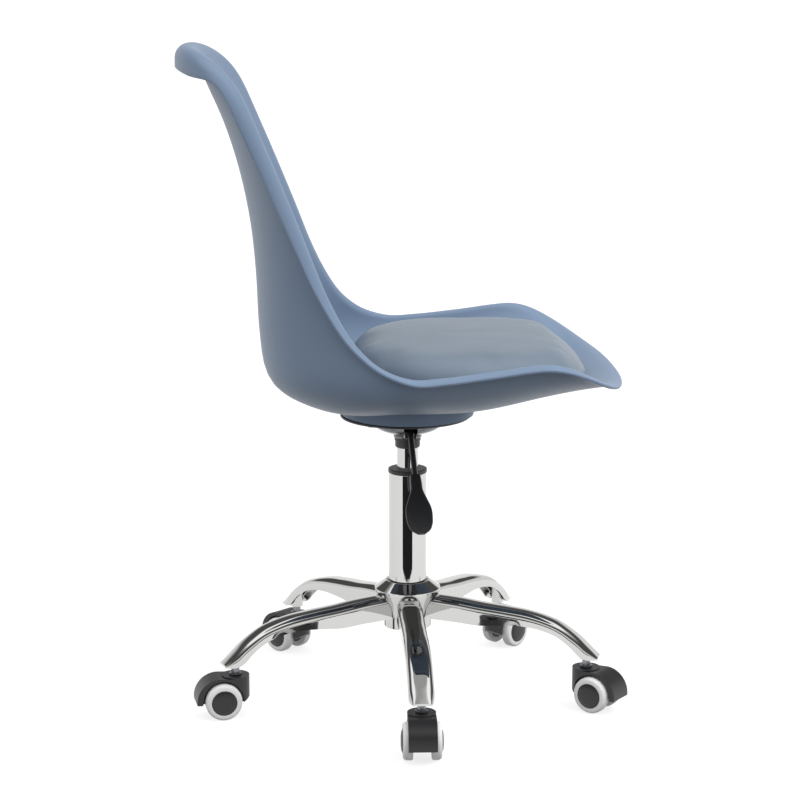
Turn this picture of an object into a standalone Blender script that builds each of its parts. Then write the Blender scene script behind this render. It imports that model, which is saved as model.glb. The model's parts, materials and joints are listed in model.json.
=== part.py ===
"""Swivel desk chair: moulded bucket shell on a gas lift and a five-star base with twin-wheel casters.

The chair faces +X. Every dimension is in metres. The seat column is the local origin of all the
positions below; the root empty then moves the whole chair so that its bounding box stands centred.
"""

import math

import bmesh
import bpy
import numpy as np
from mathutils import Matrix

# Placement of the column axis in the part's frame
COLUMN_X = 0.0068
COLUMN_Y = 0.0243

GAP = 0.0003
CUSHION_CLEARANCE = 0.0030
ROUND = 24

# Casters
LEG_COUNT = 5
STEM_CIRCLE = 0.2421
WHEEL_RADIUS = 0.0240
TRAIL = 0.0180
CASTER_HEADINGS = (-92.0, -38.0, 46.0, 133.0, 188.0)
WHEEL_INNER = 0.0118
TYRE_OUTER = 0.0243
CORE_RADIUS = 0.0164
CORE_OUTER = 0.0268
AXLE_RADIUS = 0.0030
AXLE_HALF = 0.0235
HOOD_HALF = 0.0180
HOOD_WEB = 0.0112
HOOD_ARC = 0.0305
HOOD_ARC_X = 0.0222
HOOD_ARC_Z = 0.0240
WELL_RADIUS = 0.0270
BOSS_RADIUS = 0.0182
BOSS_TOP = 0.0553
STEM_RADIUS = 0.0054
STEM_BOTTOM = 0.0330
STEM_TOP = 0.0770

# Base
LEG_HALF_WIDTH = 0.0165
LEG_WALL = 0.0024
LEG_ROOT = 0.0290
LEG_TIP = 0.2588
SOCKET_RADIUS = 0.0088
SOCKET_BOTTOM = 0.0665
HUB_RADIUS = 0.0312
HUB_BOTTOM = 0.0950
HUB_TOP = 0.1586
HUB_SIDE = (
    (0.0312, 0.1080),
    (0.0321, 0.1170),
    (0.0338, 0.1237),
    (0.0365, 0.1300),
    (0.0392, 0.1355),
    (0.0430, 0.1435),
    (0.0437, 0.1480),
)
HUB_SEGMENTS = 40

# Gas lift
TUBE_RADIUS = 0.0250
TUBE_BOTTOM = 0.0985
TUBE_TOP = 0.3045
RING_RADIUS = 0.0256
RING_TOP = 0.3100
CYLINDER_RADIUS = 0.0140
CYLINDER_BOTTOM = 0.1450
CYLINDER_TOP = 0.3620
ROD_RADIUS = 0.0050

# Seat mechanism
SLEEVE_RADIUS = 0.0173
SLEEVE_BOTTOM = 0.3385
CONE_BOTTOM = 0.3523
CONE_RADIUS = 0.0186
DISH_RADIUS = 0.0460
PLATE_X = -0.0030
PLATE_RADIUS = 0.0855
PLATE_BOTTOM = 0.3805
PLATE_THICKNESS = 0.0028
BOLT_HALF_PITCH = 0.0470
PIVOT_Y = -0.0160
LEVER_Z = 0.3706
LEVER_RADIUS = 0.0040
LEVER_HEADING = 3.0
LEVER_SLOPE = 44.0
PADDLE_START = 0.0775

# Shell: centre x, centre z, wall-end x, wall-end z, half width, wall angle in degrees
SHELL_THICKNESS = 0.0045
SHELL_STATIONS = (
    (-0.2685, 0.8540, -0.2310, 0.8650, 0.147, 50),
    (-0.2555, 0.8200, -0.2190, 0.8320, 0.153, 50),
    (-0.2365, 0.7780, -0.2050, 0.7890, 0.158, 50),
    (-0.2150, 0.7110, -0.1770, 0.7200, 0.162, 52),
    (-0.2000, 0.6350, -0.1475, 0.6440, 0.166, 55),
    (-0.1935, 0.5620, -0.1180, 0.5660, 0.176, 60),
    (-0.1905, 0.4950, -0.0880, 0.5110, 0.194, 66),
    (-0.1780, 0.4330, -0.0580, 0.4830, 0.212, 72),
    (-0.1230, 0.4035, -0.0260, 0.4700, 0.223, 78),
    (-0.0200, 0.3980, 0.0250, 0.4695, 0.224, 80),
    (0.0800, 0.3995, 0.0900, 0.4760, 0.221, 80),
    (0.1700, 0.4190, 0.1650, 0.4835, 0.219, 78),
    (0.2540, 0.4400, 0.2480, 0.4660, 0.212, 70),
)
SHELL_POWER = 2.1
SHELL_CENTRE = 0.62
TOP_CORNER = 0.13
TOP_POWER = 2.6
FRONT_CORNER = 0.86
FRONT_POWER = 2.3
FOOT_RADIUS = 0.0870
FOOT_X = 0.0000

# Cushion, in the shell's own lengthwise and crosswise shares
CUSHION_CENTRE = 0.7950
CUSHION_REACH = 0.1850
CUSHION_CROSS = 0.70
CUSHION_POWER = 2.7
CUSHION_TOP = 0.4825
CUSHION_CROWN = 0.0060


def clear_scene():
    for item in list(bpy.data.objects):
        bpy.data.objects.remove(item, do_unlink=True)


def material(name, colour, metallic, roughness):
    made = bpy.data.materials.new(name)
    made.use_nodes = True
    shader = made.node_tree.nodes["Principled BSDF"]
    shader.inputs["Base Color"].default_value = (*colour, 1.0)
    shader.inputs["Metallic"].default_value = metallic
    shader.inputs["Roughness"].default_value = roughness
    return made


CHROME = ((0.80, 0.80, 0.82), 1.0, 0.08)
STEEL = ((0.60, 0.60, 0.62), 1.0, 0.30)
BLACK_STEEL = ((0.03, 0.03, 0.03), 0.0, 0.35)
BLACK_PLASTIC = ((0.035, 0.035, 0.037), 0.0, 0.45)
TYRE_GREY = ((0.62, 0.62, 0.63), 0.0, 0.50)
SHELL_BLUE = ((0.18, 0.26, 0.38), 0.0, 0.45)
CUSHION_BLUE = ((0.27, 0.33, 0.40), 0.0, 0.50)


def mesh_from(vertices, faces):
    mesh = bpy.data.meshes.new("piece")
    mesh.from_pydata([tuple(map(float, v)) for v in vertices], [], faces)
    work = bmesh.new()
    work.from_mesh(mesh)
    bmesh.ops.remove_doubles(work, verts=work.verts, dist=0.000001)
    bmesh.ops.recalc_face_normals(work, faces=work.faces)
    if work.calc_volume(signed=True) < 0:
        bmesh.ops.reverse_faces(work, faces=work.faces)
    work.to_mesh(mesh)
    work.free()
    return mesh


def piece(name, mesh, look, parent, location=(0, 0, 0)):
    """Adds one named sub-part under a parent empty, smooth where its facets are shallow."""
    made = bpy.data.objects.new(name, mesh)
    bpy.context.scene.collection.objects.link(made)
    made.parent = parent
    made.location = location
    mesh.materials.append(material(name, *look))
    mesh.shade_smooth()
    mesh.set_sharp_from_angle(angle=math.radians(35))
    return made


def lathe(profile, segments=ROUND):
    """Turns a closed (radius, z) outline about Z. A point on the axis becomes one vertex."""
    vertices = []
    rows = []
    for radius, z in profile:
        if radius == 0:
            rows.append([len(vertices)] * segments)
            vertices.append((0, 0, z))
            continue
        rows.append(list(range(len(vertices), len(vertices) + segments)))
        for step in range(segments):
            turn = 2 * math.pi * step / segments
            vertices.append((radius * math.cos(turn), radius * math.sin(turn), z))
    faces = []
    for index, row in enumerate(rows):
        after = rows[(index + 1) % len(rows)]
        for step in range(segments):
            ahead = (step + 1) % segments
            corners = [row[step], row[ahead], after[ahead], after[step]]
            kept = list(dict.fromkeys(corners))
            if len(kept) > 2:
                faces.append(kept)
    return mesh_from(vertices, faces)


def disc(radius, low, high, segments=ROUND):
    return lathe([(0, low), (radius, low), (radius, high), (0, high)], segments)


def tube(inner, outer, low, high, segments=ROUND):
    return lathe([(inner, low), (outer, low), (outer, high), (inner, high)], segments)


def across(mesh):
    """Lays a piece turned about Z down along Y."""
    mesh.transform(Matrix.Rotation(math.radians(-90), 4, "X"))
    return mesh


def prism(outline, low, high):
    """Extrudes an (x, z) outline along Y."""
    count = len(outline)
    vertices = [(x, low, z) for x, z in outline] + [(x, high, z) for x, z in outline]
    faces = [list(range(count)), list(range(2 * count - 1, count - 1, -1))]
    for step in range(count):
        ahead = (step + 1) % count
        faces.append([step, ahead, count + ahead, count + step])
    return mesh_from(vertices, faces)


def box(low, high):
    outline = [(low[0], low[2]), (high[0], low[2]), (high[0], high[2]), (low[0], high[2])]
    return prism(outline, low[1], high[1])


def combine(mesh, other, operation):
    """Returns the exact Boolean of two meshes and drops both."""
    body = bpy.data.objects.new("body", mesh)
    tool = bpy.data.objects.new("tool", other)
    for item in (body, tool):
        bpy.context.scene.collection.objects.link(item)
    step = body.modifiers.new("Boolean", "BOOLEAN")
    step.operation = operation
    step.solver = "EXACT"
    step.object = tool
    bpy.context.view_layer.update()
    graph = bpy.context.evaluated_depsgraph_get()
    result = bpy.data.meshes.new_from_object(body.evaluated_get(graph))
    for item in (body, tool):
        bpy.data.objects.remove(item, do_unlink=True)
    return result


def spline(places, values, wanted):
    """Smooth cubic curve through the rows of values at the given places."""
    places = np.asarray(places, float)
    values = np.asarray(values, float)
    spans = np.diff(places)
    slopes = np.diff(values, axis=0) / spans[:, None]
    tangents = np.empty_like(values)
    weighted = slopes[:-1] * spans[1:, None] + slopes[1:] * spans[:-1, None]
    tangents[1:-1] = weighted / (spans[1:] + spans[:-1])[:, None]
    tangents[0] = 1.5 * slopes[0] - 0.5 * tangents[1]
    tangents[-1] = 1.5 * slopes[-1] - 0.5 * tangents[-2]
    wanted = np.clip(wanted, places[0], places[-1])
    at = np.clip(np.searchsorted(places, wanted) - 1, 0, len(places) - 2)
    share = ((wanted - places[at]) / spans[at])[..., None]
    span = spans[at][..., None]
    start = (1 + 2 * share) * (1 - share) ** 2 * values[at]
    leave = share * (1 - share) ** 2 * span * tangents[at]
    end = share**2 * (3 - 2 * share) * values[at + 1]
    arrive = share**2 * (share - 1) * span * tangents[at + 1]
    return start + leave + end + arrive


def ease(values, low, high):
    share = np.clip((values - low) / (high - low), 0, 1)
    return share * share * (3 - 2 * share)


def station_places():
    rows = np.array(SHELL_STATIONS)
    steps = np.hypot(np.diff(rows[:, 0]), np.diff(rows[:, 1]))
    length = np.concatenate([[0], np.cumsum(steps)])
    return length / length[-1]


def shell_point(along, cross):
    """Middle of the shell wall. along runs 0 to 1 from the top edge to the front lip."""
    along = np.asarray(along, float)
    cross = np.asarray(cross, float)
    row = spline(station_places(), SHELL_STATIONS, along)
    wall = np.radians(row[..., 5])
    turn = np.abs(cross) * wall
    power = 2 / SHELL_POWER
    side = (np.sin(turn) / np.sin(wall)) ** power
    rise = (1 - np.cos(turn) ** power) / (1 - np.cos(wall) ** power)
    x = row[..., 0] + (row[..., 2] - row[..., 0]) * rise
    y = np.sign(cross) * side * row[..., 4]
    z = row[..., 1] + (row[..., 3] - row[..., 1]) * rise
    return np.stack([x, y, z], -1)


def rim_shares(count):
    """The wall's edge as (along, cross) pairs, evenly spaced, starting at the front lip."""
    turn = np.linspace(0, math.pi / 2, 300)
    front = np.stack(
        [
            FRONT_CORNER + (1 - FRONT_CORNER) * np.cos(turn) ** (2 / FRONT_POWER),
            np.sin(turn) ** (2 / FRONT_POWER),
        ],
        -1,
    )
    side = np.stack([np.linspace(FRONT_CORNER, TOP_CORNER, 200)[1:-1], np.ones(198)], -1)
    top = np.stack(
        [TOP_CORNER * (1 - np.cos(turn) ** (2 / TOP_POWER)), np.sin(turn) ** (2 / TOP_POWER)], -1
    )[::-1]
    half = np.concatenate([front, side, top])
    points = shell_point(half[:, 0], half[:, 1])
    steps = np.linalg.norm(np.diff(points, axis=0), axis=1)
    length = np.concatenate([[0], np.cumsum(steps)])
    wanted = np.linspace(0, length[-1], count // 2 + 1)
    along = np.interp(wanted, length, half[:, 0])
    cross = np.interp(wanted, length, half[:, 1])
    back = slice(-2, 0, -1)
    return np.concatenate([np.stack([along, cross], -1), np.stack([along[back], -cross[back]], -1)])


def edge_roll(along):
    """Roll radius, sweep and straight end of the turned-out edge for each point of the rim."""
    top = 1 - ease(along, 0.004, 0.050)
    front = ease(along, 0.86, 1.0)
    seat = ease(along, 0.22, 0.56)
    radius = 0.0130 * (1 - seat) + 0.0065 * seat
    sweep = 118.0 * (1 - seat) + 95.0 * seat
    straight = 0.003 + 0.003 * seat
    sweep = sweep * (1 - top) + 158.0 * top
    straight = straight * (1 - top) + 0.011 * top
    radius = radius * (1 - front) + 0.045 * front
    sweep = sweep * (1 - front) + 18.0 * front
    straight = straight * (1 - front) + 0.002 * front
    return radius[:, None], np.radians(sweep)[:, None], straight[:, None]


def shell_loops(count, rings, arcs):
    """Closed loops from the pole out to the free edge of the rolled rim."""
    shares = rim_shares(count)
    centre = np.array([SHELL_CENTRE, 0.0])
    loops = []
    for step in range(1, rings + 1):
        spread = centre + (shares - centre) * (step / rings) ** 0.85
        loops.append(shell_point(spread[:, 0], spread[:, 1]))
    rim = loops[-1]
    inside = centre + (shares - centre) * 0.985
    outward = rim - shell_point(inside[:, 0], inside[:, 1])
    edge = np.roll(rim, -1, 0) - np.roll(rim, 1, 0)
    edge /= np.linalg.norm(edge, axis=1)[:, None]
    normal = np.cross(edge, outward)
    normal /= np.linalg.norm(normal, axis=1)[:, None]
    normal *= np.sign(normal[:, 0] + normal[:, 2])[:, None]
    leave = np.cross(normal, edge)
    leave *= np.sign((leave * outward).sum(1))[:, None]
    radius, sweep, straight = edge_roll(shares[:, 0])
    for step in range(1, arcs + 1):
        turn = sweep * step / arcs
        loops.append(rim + leave * radius * np.sin(turn) - normal * radius * (1 - np.cos(turn)))
    loops.append(loops[-1] + (leave * np.cos(sweep) - normal * np.sin(sweep)) * straight)
    return shell_point(SHELL_CENTRE, 0.0), loops


def fan_faces(count, loops):
    faces = [(0, 1 + step, 1 + (step + 1) % count) for step in range(count)]
    for ring in range(loops - 1):
        for step in range(count):
            ahead = (step + 1) % count
            inner = 1 + ring * count
            outer = inner + count
            faces.append((inner + step, outer + step, outer + ahead, inner + ahead))
    return faces


def vertex_normals(vertices, faces):
    normals = np.zeros_like(vertices)
    for face in faces:
        corners = vertices[list(face)]
        normal = np.cross(corners[1] - corners[0], corners[-1] - corners[0])
        for corner in face:
            normals[corner] += normal
    normals /= np.linalg.norm(normals, axis=1)[:, None]
    return normals if normals[0, 2] > 0 else -normals


def shell_mesh(count=56, rings=7, arcs=3):
    pole, loops = shell_loops(count, rings, arcs)
    middle = np.concatenate([pole[None], *loops])
    faces = fan_faces(count, len(loops))
    offset = vertex_normals(middle, faces) * SHELL_THICKNESS / 2
    size = len(middle)
    vertices = np.concatenate([middle + offset, middle - offset])
    walls = [*faces, *[tuple(size + corner for corner in face[::-1]) for face in faces]]
    first = size - count
    for step in range(count):
        ahead = (step + 1) % count
        walls.append((first + step, first + step + size, first + ahead + size, first + ahead))
    return mesh_from(vertices, walls)


def pan_height(x, y):
    """Height of the middle of the shell's pan above a point, from its four nearest samples."""
    along, cross = np.meshgrid(np.linspace(0.5, 1.0, 240), np.linspace(-0.75, 0.75, 151))
    points = shell_point(along.ravel(), cross.ravel())
    away = np.hypot(points[:, 0] - x, points[:, 1] - y)
    near = np.argsort(away)[:4]
    weight = 1 / (away[near] + 1e-6)
    return float((points[near, 2] * weight).sum() / weight.sum())


def foot_mesh(bottom, segments=28):
    """Round boss under the pan: flat below, and above it ends inside the shell's wall."""
    rings = (0.5, 1.0)
    vertices = [(FOOT_X, 0, bottom), (FOOT_X, 0, pan_height(FOOT_X, 0))]
    for share in rings:
        for high in (False, True):
            for step in range(segments):
                turn = 2 * math.pi * step / segments
                reach = share * FOOT_RADIUS + (0.002 if high and share == 1 else 0)
                x = FOOT_X + reach * math.cos(turn)
                y = reach * math.sin(turn)
                vertices.append((x, y, pan_height(x, y) if high else bottom))
    faces = []
    for side in (0, 1):
        inner = 2 + side * segments
        outer = inner + 2 * segments
        for step in range(segments):
            ahead = (step + 1) % segments
            faces.append((side, inner + step, inner + ahead))
            faces.append((inner + step, outer + step, outer + ahead, inner + ahead))
    low = 2 + 2 * segments
    high = low + segments
    for step in range(segments):
        ahead = (step + 1) % segments
        faces.append((low + step, low + ahead, high + ahead, high + step))
    return mesh_from(vertices, faces)


def cushion_loops(count, rings):
    """Loops under the cushion, following the pan, then loops over its rounded side and top."""
    turn = 2 * math.pi * np.arange(count) / count
    power = 2 / CUSHION_POWER
    along = np.sign(np.cos(turn)) * np.abs(np.cos(turn)) ** power * CUSHION_REACH
    cross = np.sign(np.sin(turn)) * np.abs(np.sin(turn)) ** power * CUSHION_CROSS
    under = []
    lift = SHELL_THICKNESS / 2 + CUSHION_CLEARANCE
    for step in range(1, rings + 1):
        share = step / rings
        a = CUSHION_CENTRE + along * share
        c = cross * share
        base = shell_point(a, c)
        du = shell_point(a + 0.002, c) - shell_point(a - 0.002, c)
        dv = shell_point(a, c + 0.002) - shell_point(a, c - 0.002)
        normal = np.cross(du, dv)
        normal /= np.linalg.norm(normal, axis=1)[:, None]
        normal *= np.sign(normal[:, 2])[:, None]
        under.append(base + normal * lift)
    return under


def cushion_mesh(count=44, rings=4):
    under = cushion_loops(count, rings)
    edge = under[-1]
    middle = edge.mean(0)
    reach = np.hypot(edge[:, 0] - middle[0], edge[:, 1] - middle[1]).max()
    over = []
    for share in (1.0, 0.985, 0.95, 0.88, 0.72, 0.45):
        ring = edge.copy()
        ring[:, :2] = middle[:2] + (edge[:, :2] - middle[:2]) * share
        ahead = np.clip(ring[:, 0] - 0.19, 0, None)
        fall = 0.55 * ahead + 2.4 * ahead**2
        away = np.hypot(ring[:, 0] - middle[0], ring[:, 1]) / reach
        top = CUSHION_TOP + CUSHION_CROWN * (1 - away**2) - fall
        side = edge[:, 2] + 0.006
        ring[:, 2] = side + (top - side) * (1 - share**14) ** 0.45
        over.append(ring)
    peak = np.array([[middle[0], 0, CUSHION_TOP + CUSHION_CROWN]])
    floor = shell_point(CUSHION_CENTRE, 0.0)[None] + [0, 0, SHELL_THICKNESS / 2 + CUSHION_CLEARANCE]
    vertices = np.concatenate([floor, *under, *over, peak])
    faces = fan_faces(count, len(under) + len(over))
    last = 1 + (len(under) + len(over) - 1) * count
    crest = len(vertices) - 1
    for step in range(count):
        faces.append((last + step, crest, last + (step + 1) % count))
    return mesh_from(vertices, faces)


LEG_TOP = (
    (0.0300, 0.1405),
    (0.0700, 0.1372),
    (0.1000, 0.1332),
    (0.1350, 0.1296),
    (0.1650, 0.1256),
    (0.1900, 0.1192),
    (0.2050, 0.1136),
    (0.2200, 0.1048),
    (0.2340, 0.0945),
    (0.2480, 0.0815),
    (0.2600, 0.0700),
)
LEG_BOTTOM = (
    (0.0300, 0.1100),
    (0.0700, 0.1078),
    (0.1000, 0.1054),
    (0.1300, 0.1077),
    (0.1580, 0.1084),
    (0.1850, 0.1045),
    (0.2000, 0.0995),
    (0.2120, 0.0930),
    (0.2250, 0.0825),
    (0.2350, 0.0725),
    (0.2440, 0.0685),
    (0.2600, 0.0685),
)
LEG_PLACES = (LEG_ROOT, 0.090, 0.130, 0.165, 0.192, 0.210, 0.224, 0.236, 0.248, LEG_TIP)


def leg_height(rows, reach):
    places, heights = zip(*rows)
    return float(spline(places, np.array(heights)[:, None], np.array([reach]))[0, 0])


def leg_section(reach, inset, low_offset):
    """Half-round-topped section of a leg at one distance from the column, as (across, z)."""
    half = (LEG_HALF_WIDTH - inset) * (0.74 if reach > 0.255 else 0.97 if reach > 0.24 else 1.0)
    high = leg_height(LEG_TOP, reach) - 1.3 * inset
    low = leg_height(LEG_BOTTOM, reach) + low_offset
    shoulder = min(0.011, 0.6 * (high - low))
    right = [
        (half, low),
        (half, high - shoulder),
        (0.86 * half, high - 0.36 * shoulder),
        (0.50 * half, high - 0.08 * shoulder),
    ]
    left = [(-across_, z) for across_, z in reversed(right)]
    return right + [(0, high)] + left


def loft(places, sections):
    count = len(sections[0])
    vertices = [(place, y, z) for place, section in zip(places, sections) for y, z in section]
    last = (len(places) - 1) * count
    faces = [tuple(range(count)), tuple(range(last + count - 1, last - 1, -1))]
    for ring in range(len(places) - 1):
        for step in range(count):
            ahead = (step + 1) % count
            near = ring * count
            far = near + count
            faces.append((near + step, near + ahead, far + ahead, far + step))
    return mesh_from(vertices, faces)


def leg_body(inset, low_offset, first, last):
    places = [place for place in LEG_PLACES if first < place < last]
    places = [first, *places, last]
    return loft(places, [leg_section(place, inset, low_offset) for place in places])


def leg_mesh():
    outer = leg_body(0.0, 0.0, LEG_ROOT, LEG_PLACES[-1])
    hollow = leg_body(LEG_WALL, -0.01, LEG_ROOT - 0.004, LEG_TIP - 0.0032)
    channel = combine(outer, hollow, "DIFFERENCE")
    socket = disc(SOCKET_RADIUS, SOCKET_BOTTOM, 0.0950, 14)
    socket.transform(Matrix.Translation((STEM_CIRCLE, 0, 0)))
    solid = leg_body(0.0002, -0.02, 0.2200, LEG_TIP - 0.0002)
    socket = combine(socket, solid, "INTERSECT")
    channel = combine(channel, socket, "UNION")
    bore = disc(STEM_RADIUS + GAP, 0.0400, STEM_TOP + GAP, 12)
    bore.transform(Matrix.Translation((STEM_CIRCLE, 0, 0)))
    channel = combine(channel, bore, "DIFFERENCE")
    side = [(radius + GAP, z) for radius, z in HUB_SIDE]
    hub = [(0, 0.0900), (HUB_RADIUS + GAP, 0.0900), *side, (0, 0.1700)]
    return combine(channel, lathe(hub, HUB_SEGMENTS), "DIFFERENCE")


def hood_outline():
    """Side view of a caster's hood, x along the trail and z up."""
    points = [(-BOSS_RADIUS - 0.001, 0.0275), (-0.0080, 0.0208), (0.0500, 0.0204)]
    for step in range(7):
        turn = math.radians(-6 + 96 * step / 6)
        x = HOOD_ARC_X + HOOD_ARC * math.cos(turn)
        points.append((x, HOOD_ARC_Z + HOOD_ARC * math.sin(turn)))
    points.append((0.0060, 0.0535))
    points.append((-BOSS_RADIUS - 0.001, 0.0520))
    return points


def hood_mesh():
    body = prism(hood_outline(), -HOOD_HALF, HOOD_HALF)
    keep = disc(BOSS_RADIUS, 0.0, 0.0600, 20)
    keep = combine(keep, box((0.0, -0.03, -0.01), (0.06, 0.03, 0.07)), "UNION")
    body = combine(body, keep, "INTERSECT")
    body = combine(body, disc(BOSS_RADIUS - 0.0001, 0.0400, BOSS_TOP, 20), "UNION")
    for side in (-1, 1):
        low, high = sorted((side * HOOD_WEB, side * 0.03))
        well = across(disc(WELL_RADIUS, low, high, 28))
        well.transform(Matrix.Translation((TRAIL, 0, WHEEL_RADIUS)))
        body = combine(body, well, "DIFFERENCE")
    bore = across(disc(AXLE_RADIUS + 0.0001, -0.02, 0.02, 12))
    bore.transform(Matrix.Translation((TRAIL, 0, WHEEL_RADIUS)))
    body = combine(body, bore, "DIFFERENCE")
    return combine(body, disc(STEM_RADIUS + GAP, STEM_BOTTOM - GAP, 0.06, 12), "DIFFERENCE")


def tyre_outline():
    inner = CORE_RADIUS + GAP
    return [
        (inner, WHEEL_INNER),
        (WHEEL_RADIUS - 0.0010, WHEEL_INNER),
        (WHEEL_RADIUS, WHEEL_INNER + 0.0012),
        (WHEEL_RADIUS, TYRE_OUTER - 0.0046),
        (WHEEL_RADIUS - 0.0030, TYRE_OUTER - 0.0008),
        (inner, TYRE_OUTER),
    ]


def core_outline():
    bore = AXLE_RADIUS + 0.0002
    return [
        (bore, WHEEL_INNER),
        (CORE_RADIUS, WHEEL_INNER),
        (CORE_RADIUS, TYRE_OUTER + 0.0002),
        (0.0110, CORE_OUTER - 0.0006),
        (0, CORE_OUTER),
        (0, AXLE_HALF + GAP),
        (bore, AXLE_HALF + GAP),
    ]


def wheel_part(outline, side):
    """Turns an outline about the axle; the outline's z is the distance from the caster's middle."""
    mesh = lathe([(radius, side * z) for radius, z in outline], 20)
    return across(mesh)


def add_caster(number, root):
    turn = math.radians(-90 + 72 * (number - 1))
    place = (STEM_CIRCLE * math.cos(turn), STEM_CIRCLE * math.sin(turn), 0)
    swivel = bpy.data.objects.new(f"caster_{number}_swivel", None)
    bpy.context.scene.collection.objects.link(swivel)
    swivel.parent = root
    swivel.location = place
    swivel.rotation_euler.z = math.radians(CASTER_HEADINGS[number - 1])
    axle = (TRAIL, 0, WHEEL_RADIUS)
    piece(f"caster_hood_{number}", hood_mesh(), BLACK_PLASTIC, swivel)
    pin = across(disc(AXLE_RADIUS, -AXLE_HALF, AXLE_HALF, 12))
    piece(f"wheel_axle_{number}", pin, STEEL, swivel, axle)
    for letter, side in (("a", 1), ("b", -1)):
        tyre = wheel_part(tyre_outline(), side)
        piece(f"tyre_{number}{letter}", tyre, TYRE_GREY, swivel, axle)
        core = wheel_part(core_outline(), side)
        piece(f"wheel_core_{number}{letter}", core, BLACK_PLASTIC, swivel, axle)
    stem = lathe(
        [
            (0, STEM_BOTTOM),
            (STEM_RADIUS, STEM_BOTTOM),
            (STEM_RADIUS, BOSS_TOP + 0.0005),
            (0.0082, BOSS_TOP + 0.0005),
            (0.0082, BOSS_TOP + 0.0027),
            (STEM_RADIUS, BOSS_TOP + 0.0027),
            (STEM_RADIUS, STEM_TOP - 0.001),
            (STEM_RADIUS - 0.001, STEM_TOP),
            (0, STEM_TOP),
        ],
        12,
    )
    piece(f"caster_stem_{number}", stem, STEEL, root, place)


def add_base(root):
    bore = TUBE_RADIUS + GAP
    hub = lathe(
        [
            (bore, HUB_BOTTOM),
            (HUB_RADIUS - 0.0010, HUB_BOTTOM),
            (HUB_RADIUS, HUB_BOTTOM + 0.0010),
            *HUB_SIDE,
            (0.0292, HUB_TOP),
            (0.0283, HUB_TOP),
            (bore, HUB_TOP - 0.0050),
        ],
        HUB_SEGMENTS,
    )
    piece("base_hub", hub, CHROME, root)
    template = leg_mesh()
    for number in range(1, LEG_COUNT + 1):
        leg = piece(f"leg_{number}", template.copy(), CHROME, root)
        leg.rotation_euler.z = math.radians(-90 + 72 * (number - 1))


def add_gas_lift(root):
    floor = TUBE_BOTTOM + 0.0025
    outer = lathe(
        [
            (ROD_RADIUS + GAP, TUBE_BOTTOM),
            (TUBE_RADIUS, TUBE_BOTTOM),
            (TUBE_RADIUS, TUBE_TOP),
            (TUBE_RADIUS - 0.0022, TUBE_TOP),
            (TUBE_RADIUS - 0.0022, floor),
            (ROD_RADIUS + GAP, floor),
        ]
    )
    piece("column_outer_tube", outer, CHROME, root)
    slide = CYLINDER_RADIUS + 0.0001
    bush = lathe(
        [
            (slide, 0.2350),
            (TUBE_RADIUS - 0.0025, 0.2350),
            (TUBE_RADIUS - 0.0025, TUBE_TOP + GAP),
            (RING_RADIUS, TUBE_TOP + GAP),
            (RING_RADIUS, RING_TOP - 0.0008),
            (RING_RADIUS - 0.0008, RING_TOP),
            (slide, RING_TOP),
        ]
    )
    piece("column_guide_bush", bush, BLACK_PLASTIC, root)
    bearing = tube(ROD_RADIUS + GAP, 0.0120, floor + GAP, floor + 0.0068, 18)
    piece("thrust_bearing", bearing, STEEL, root)
    clip = tube(ROD_RADIUS + GAP, 0.0088, TUBE_BOTTOM - 0.0022, TUBE_BOTTOM - GAP, 16)
    piece("retaining_clip", clip, STEEL, root)
    rod = lathe(
        [
            (0, TUBE_BOTTOM - 0.0030),
            (ROD_RADIUS, TUBE_BOTTOM - 0.0030),
            (ROD_RADIUS, floor + 0.0071),
            (0.0085, floor + 0.0071),
            (0.0085, floor + 0.0100),
            (ROD_RADIUS, floor + 0.0100),
            (ROD_RADIUS, 0.3200),
            (0.0106, 0.3200),
            (0.0106, 0.3300),
            (0, 0.3300),
        ],
        16,
    )
    piece("piston_rod", rod, STEEL, root)
    cylinder = lathe(
        [
            (0.0110, CYLINDER_BOTTOM),
            (CYLINDER_RADIUS, CYLINDER_BOTTOM),
            (CYLINDER_RADIUS, CYLINDER_TOP - 0.0010),
            (CYLINDER_RADIUS - 0.0010, CYLINDER_TOP),
            (0.0035, CYLINDER_TOP),
            (0.0035, 0.3420),
            (0.0110, 0.3420),
        ]
    )
    piece("gas_cylinder", cylinder, CHROME, root)
    piece("release_pin", disc(0.0032, 0.3450, LEVER_Z - LEVER_RADIUS - GAP, 12), STEEL, root)


def cone_mesh():
    """Dished mechanism housing: a collar below, a flare, and a rim under the plate."""
    top = PLATE_BOTTOM - GAP
    slide = CYLINDER_RADIUS + GAP
    shape = lathe(
        [
            (slide, CONE_BOTTOM),
            (CONE_RADIUS, CONE_BOTTOM),
            (CONE_RADIUS, 0.3552),
            (0.0332, 0.3615),
            (0.0420, 0.3660),
            (DISH_RADIUS, 0.3720),
            (DISH_RADIUS, top),
            (DISH_RADIUS - 0.0030, top),
            (DISH_RADIUS - 0.0030, 0.3735),
            (0.0395, 0.3685),
            (0.0300, 0.3640),
            (0.0165, 0.3583),
            (slide, 0.3575),
        ]
    )
    slot = box((-0.0080, -0.0500, CONE_BOTTOM - 0.0010), (0.0100, -0.0080, 0.3900))
    shape = combine(shape, slot, "DIFFERENCE")
    pin = disc(0.0021, -0.0500, 0.0500, 10)
    pin.transform(Matrix.Rotation(math.radians(90), 4, "Y"))
    pin.transform(Matrix.Rotation(math.radians(LEVER_HEADING), 4, "Z"))
    pin.transform(Matrix.Translation(lever_pivot_place()))
    return combine(shape, pin, "DIFFERENCE")


def lever_pivot_place():
    heading = math.radians(LEVER_HEADING - 90)
    return (-PIVOT_Y * math.cos(heading), -PIVOT_Y * math.sin(heading), LEVER_Z)


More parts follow.
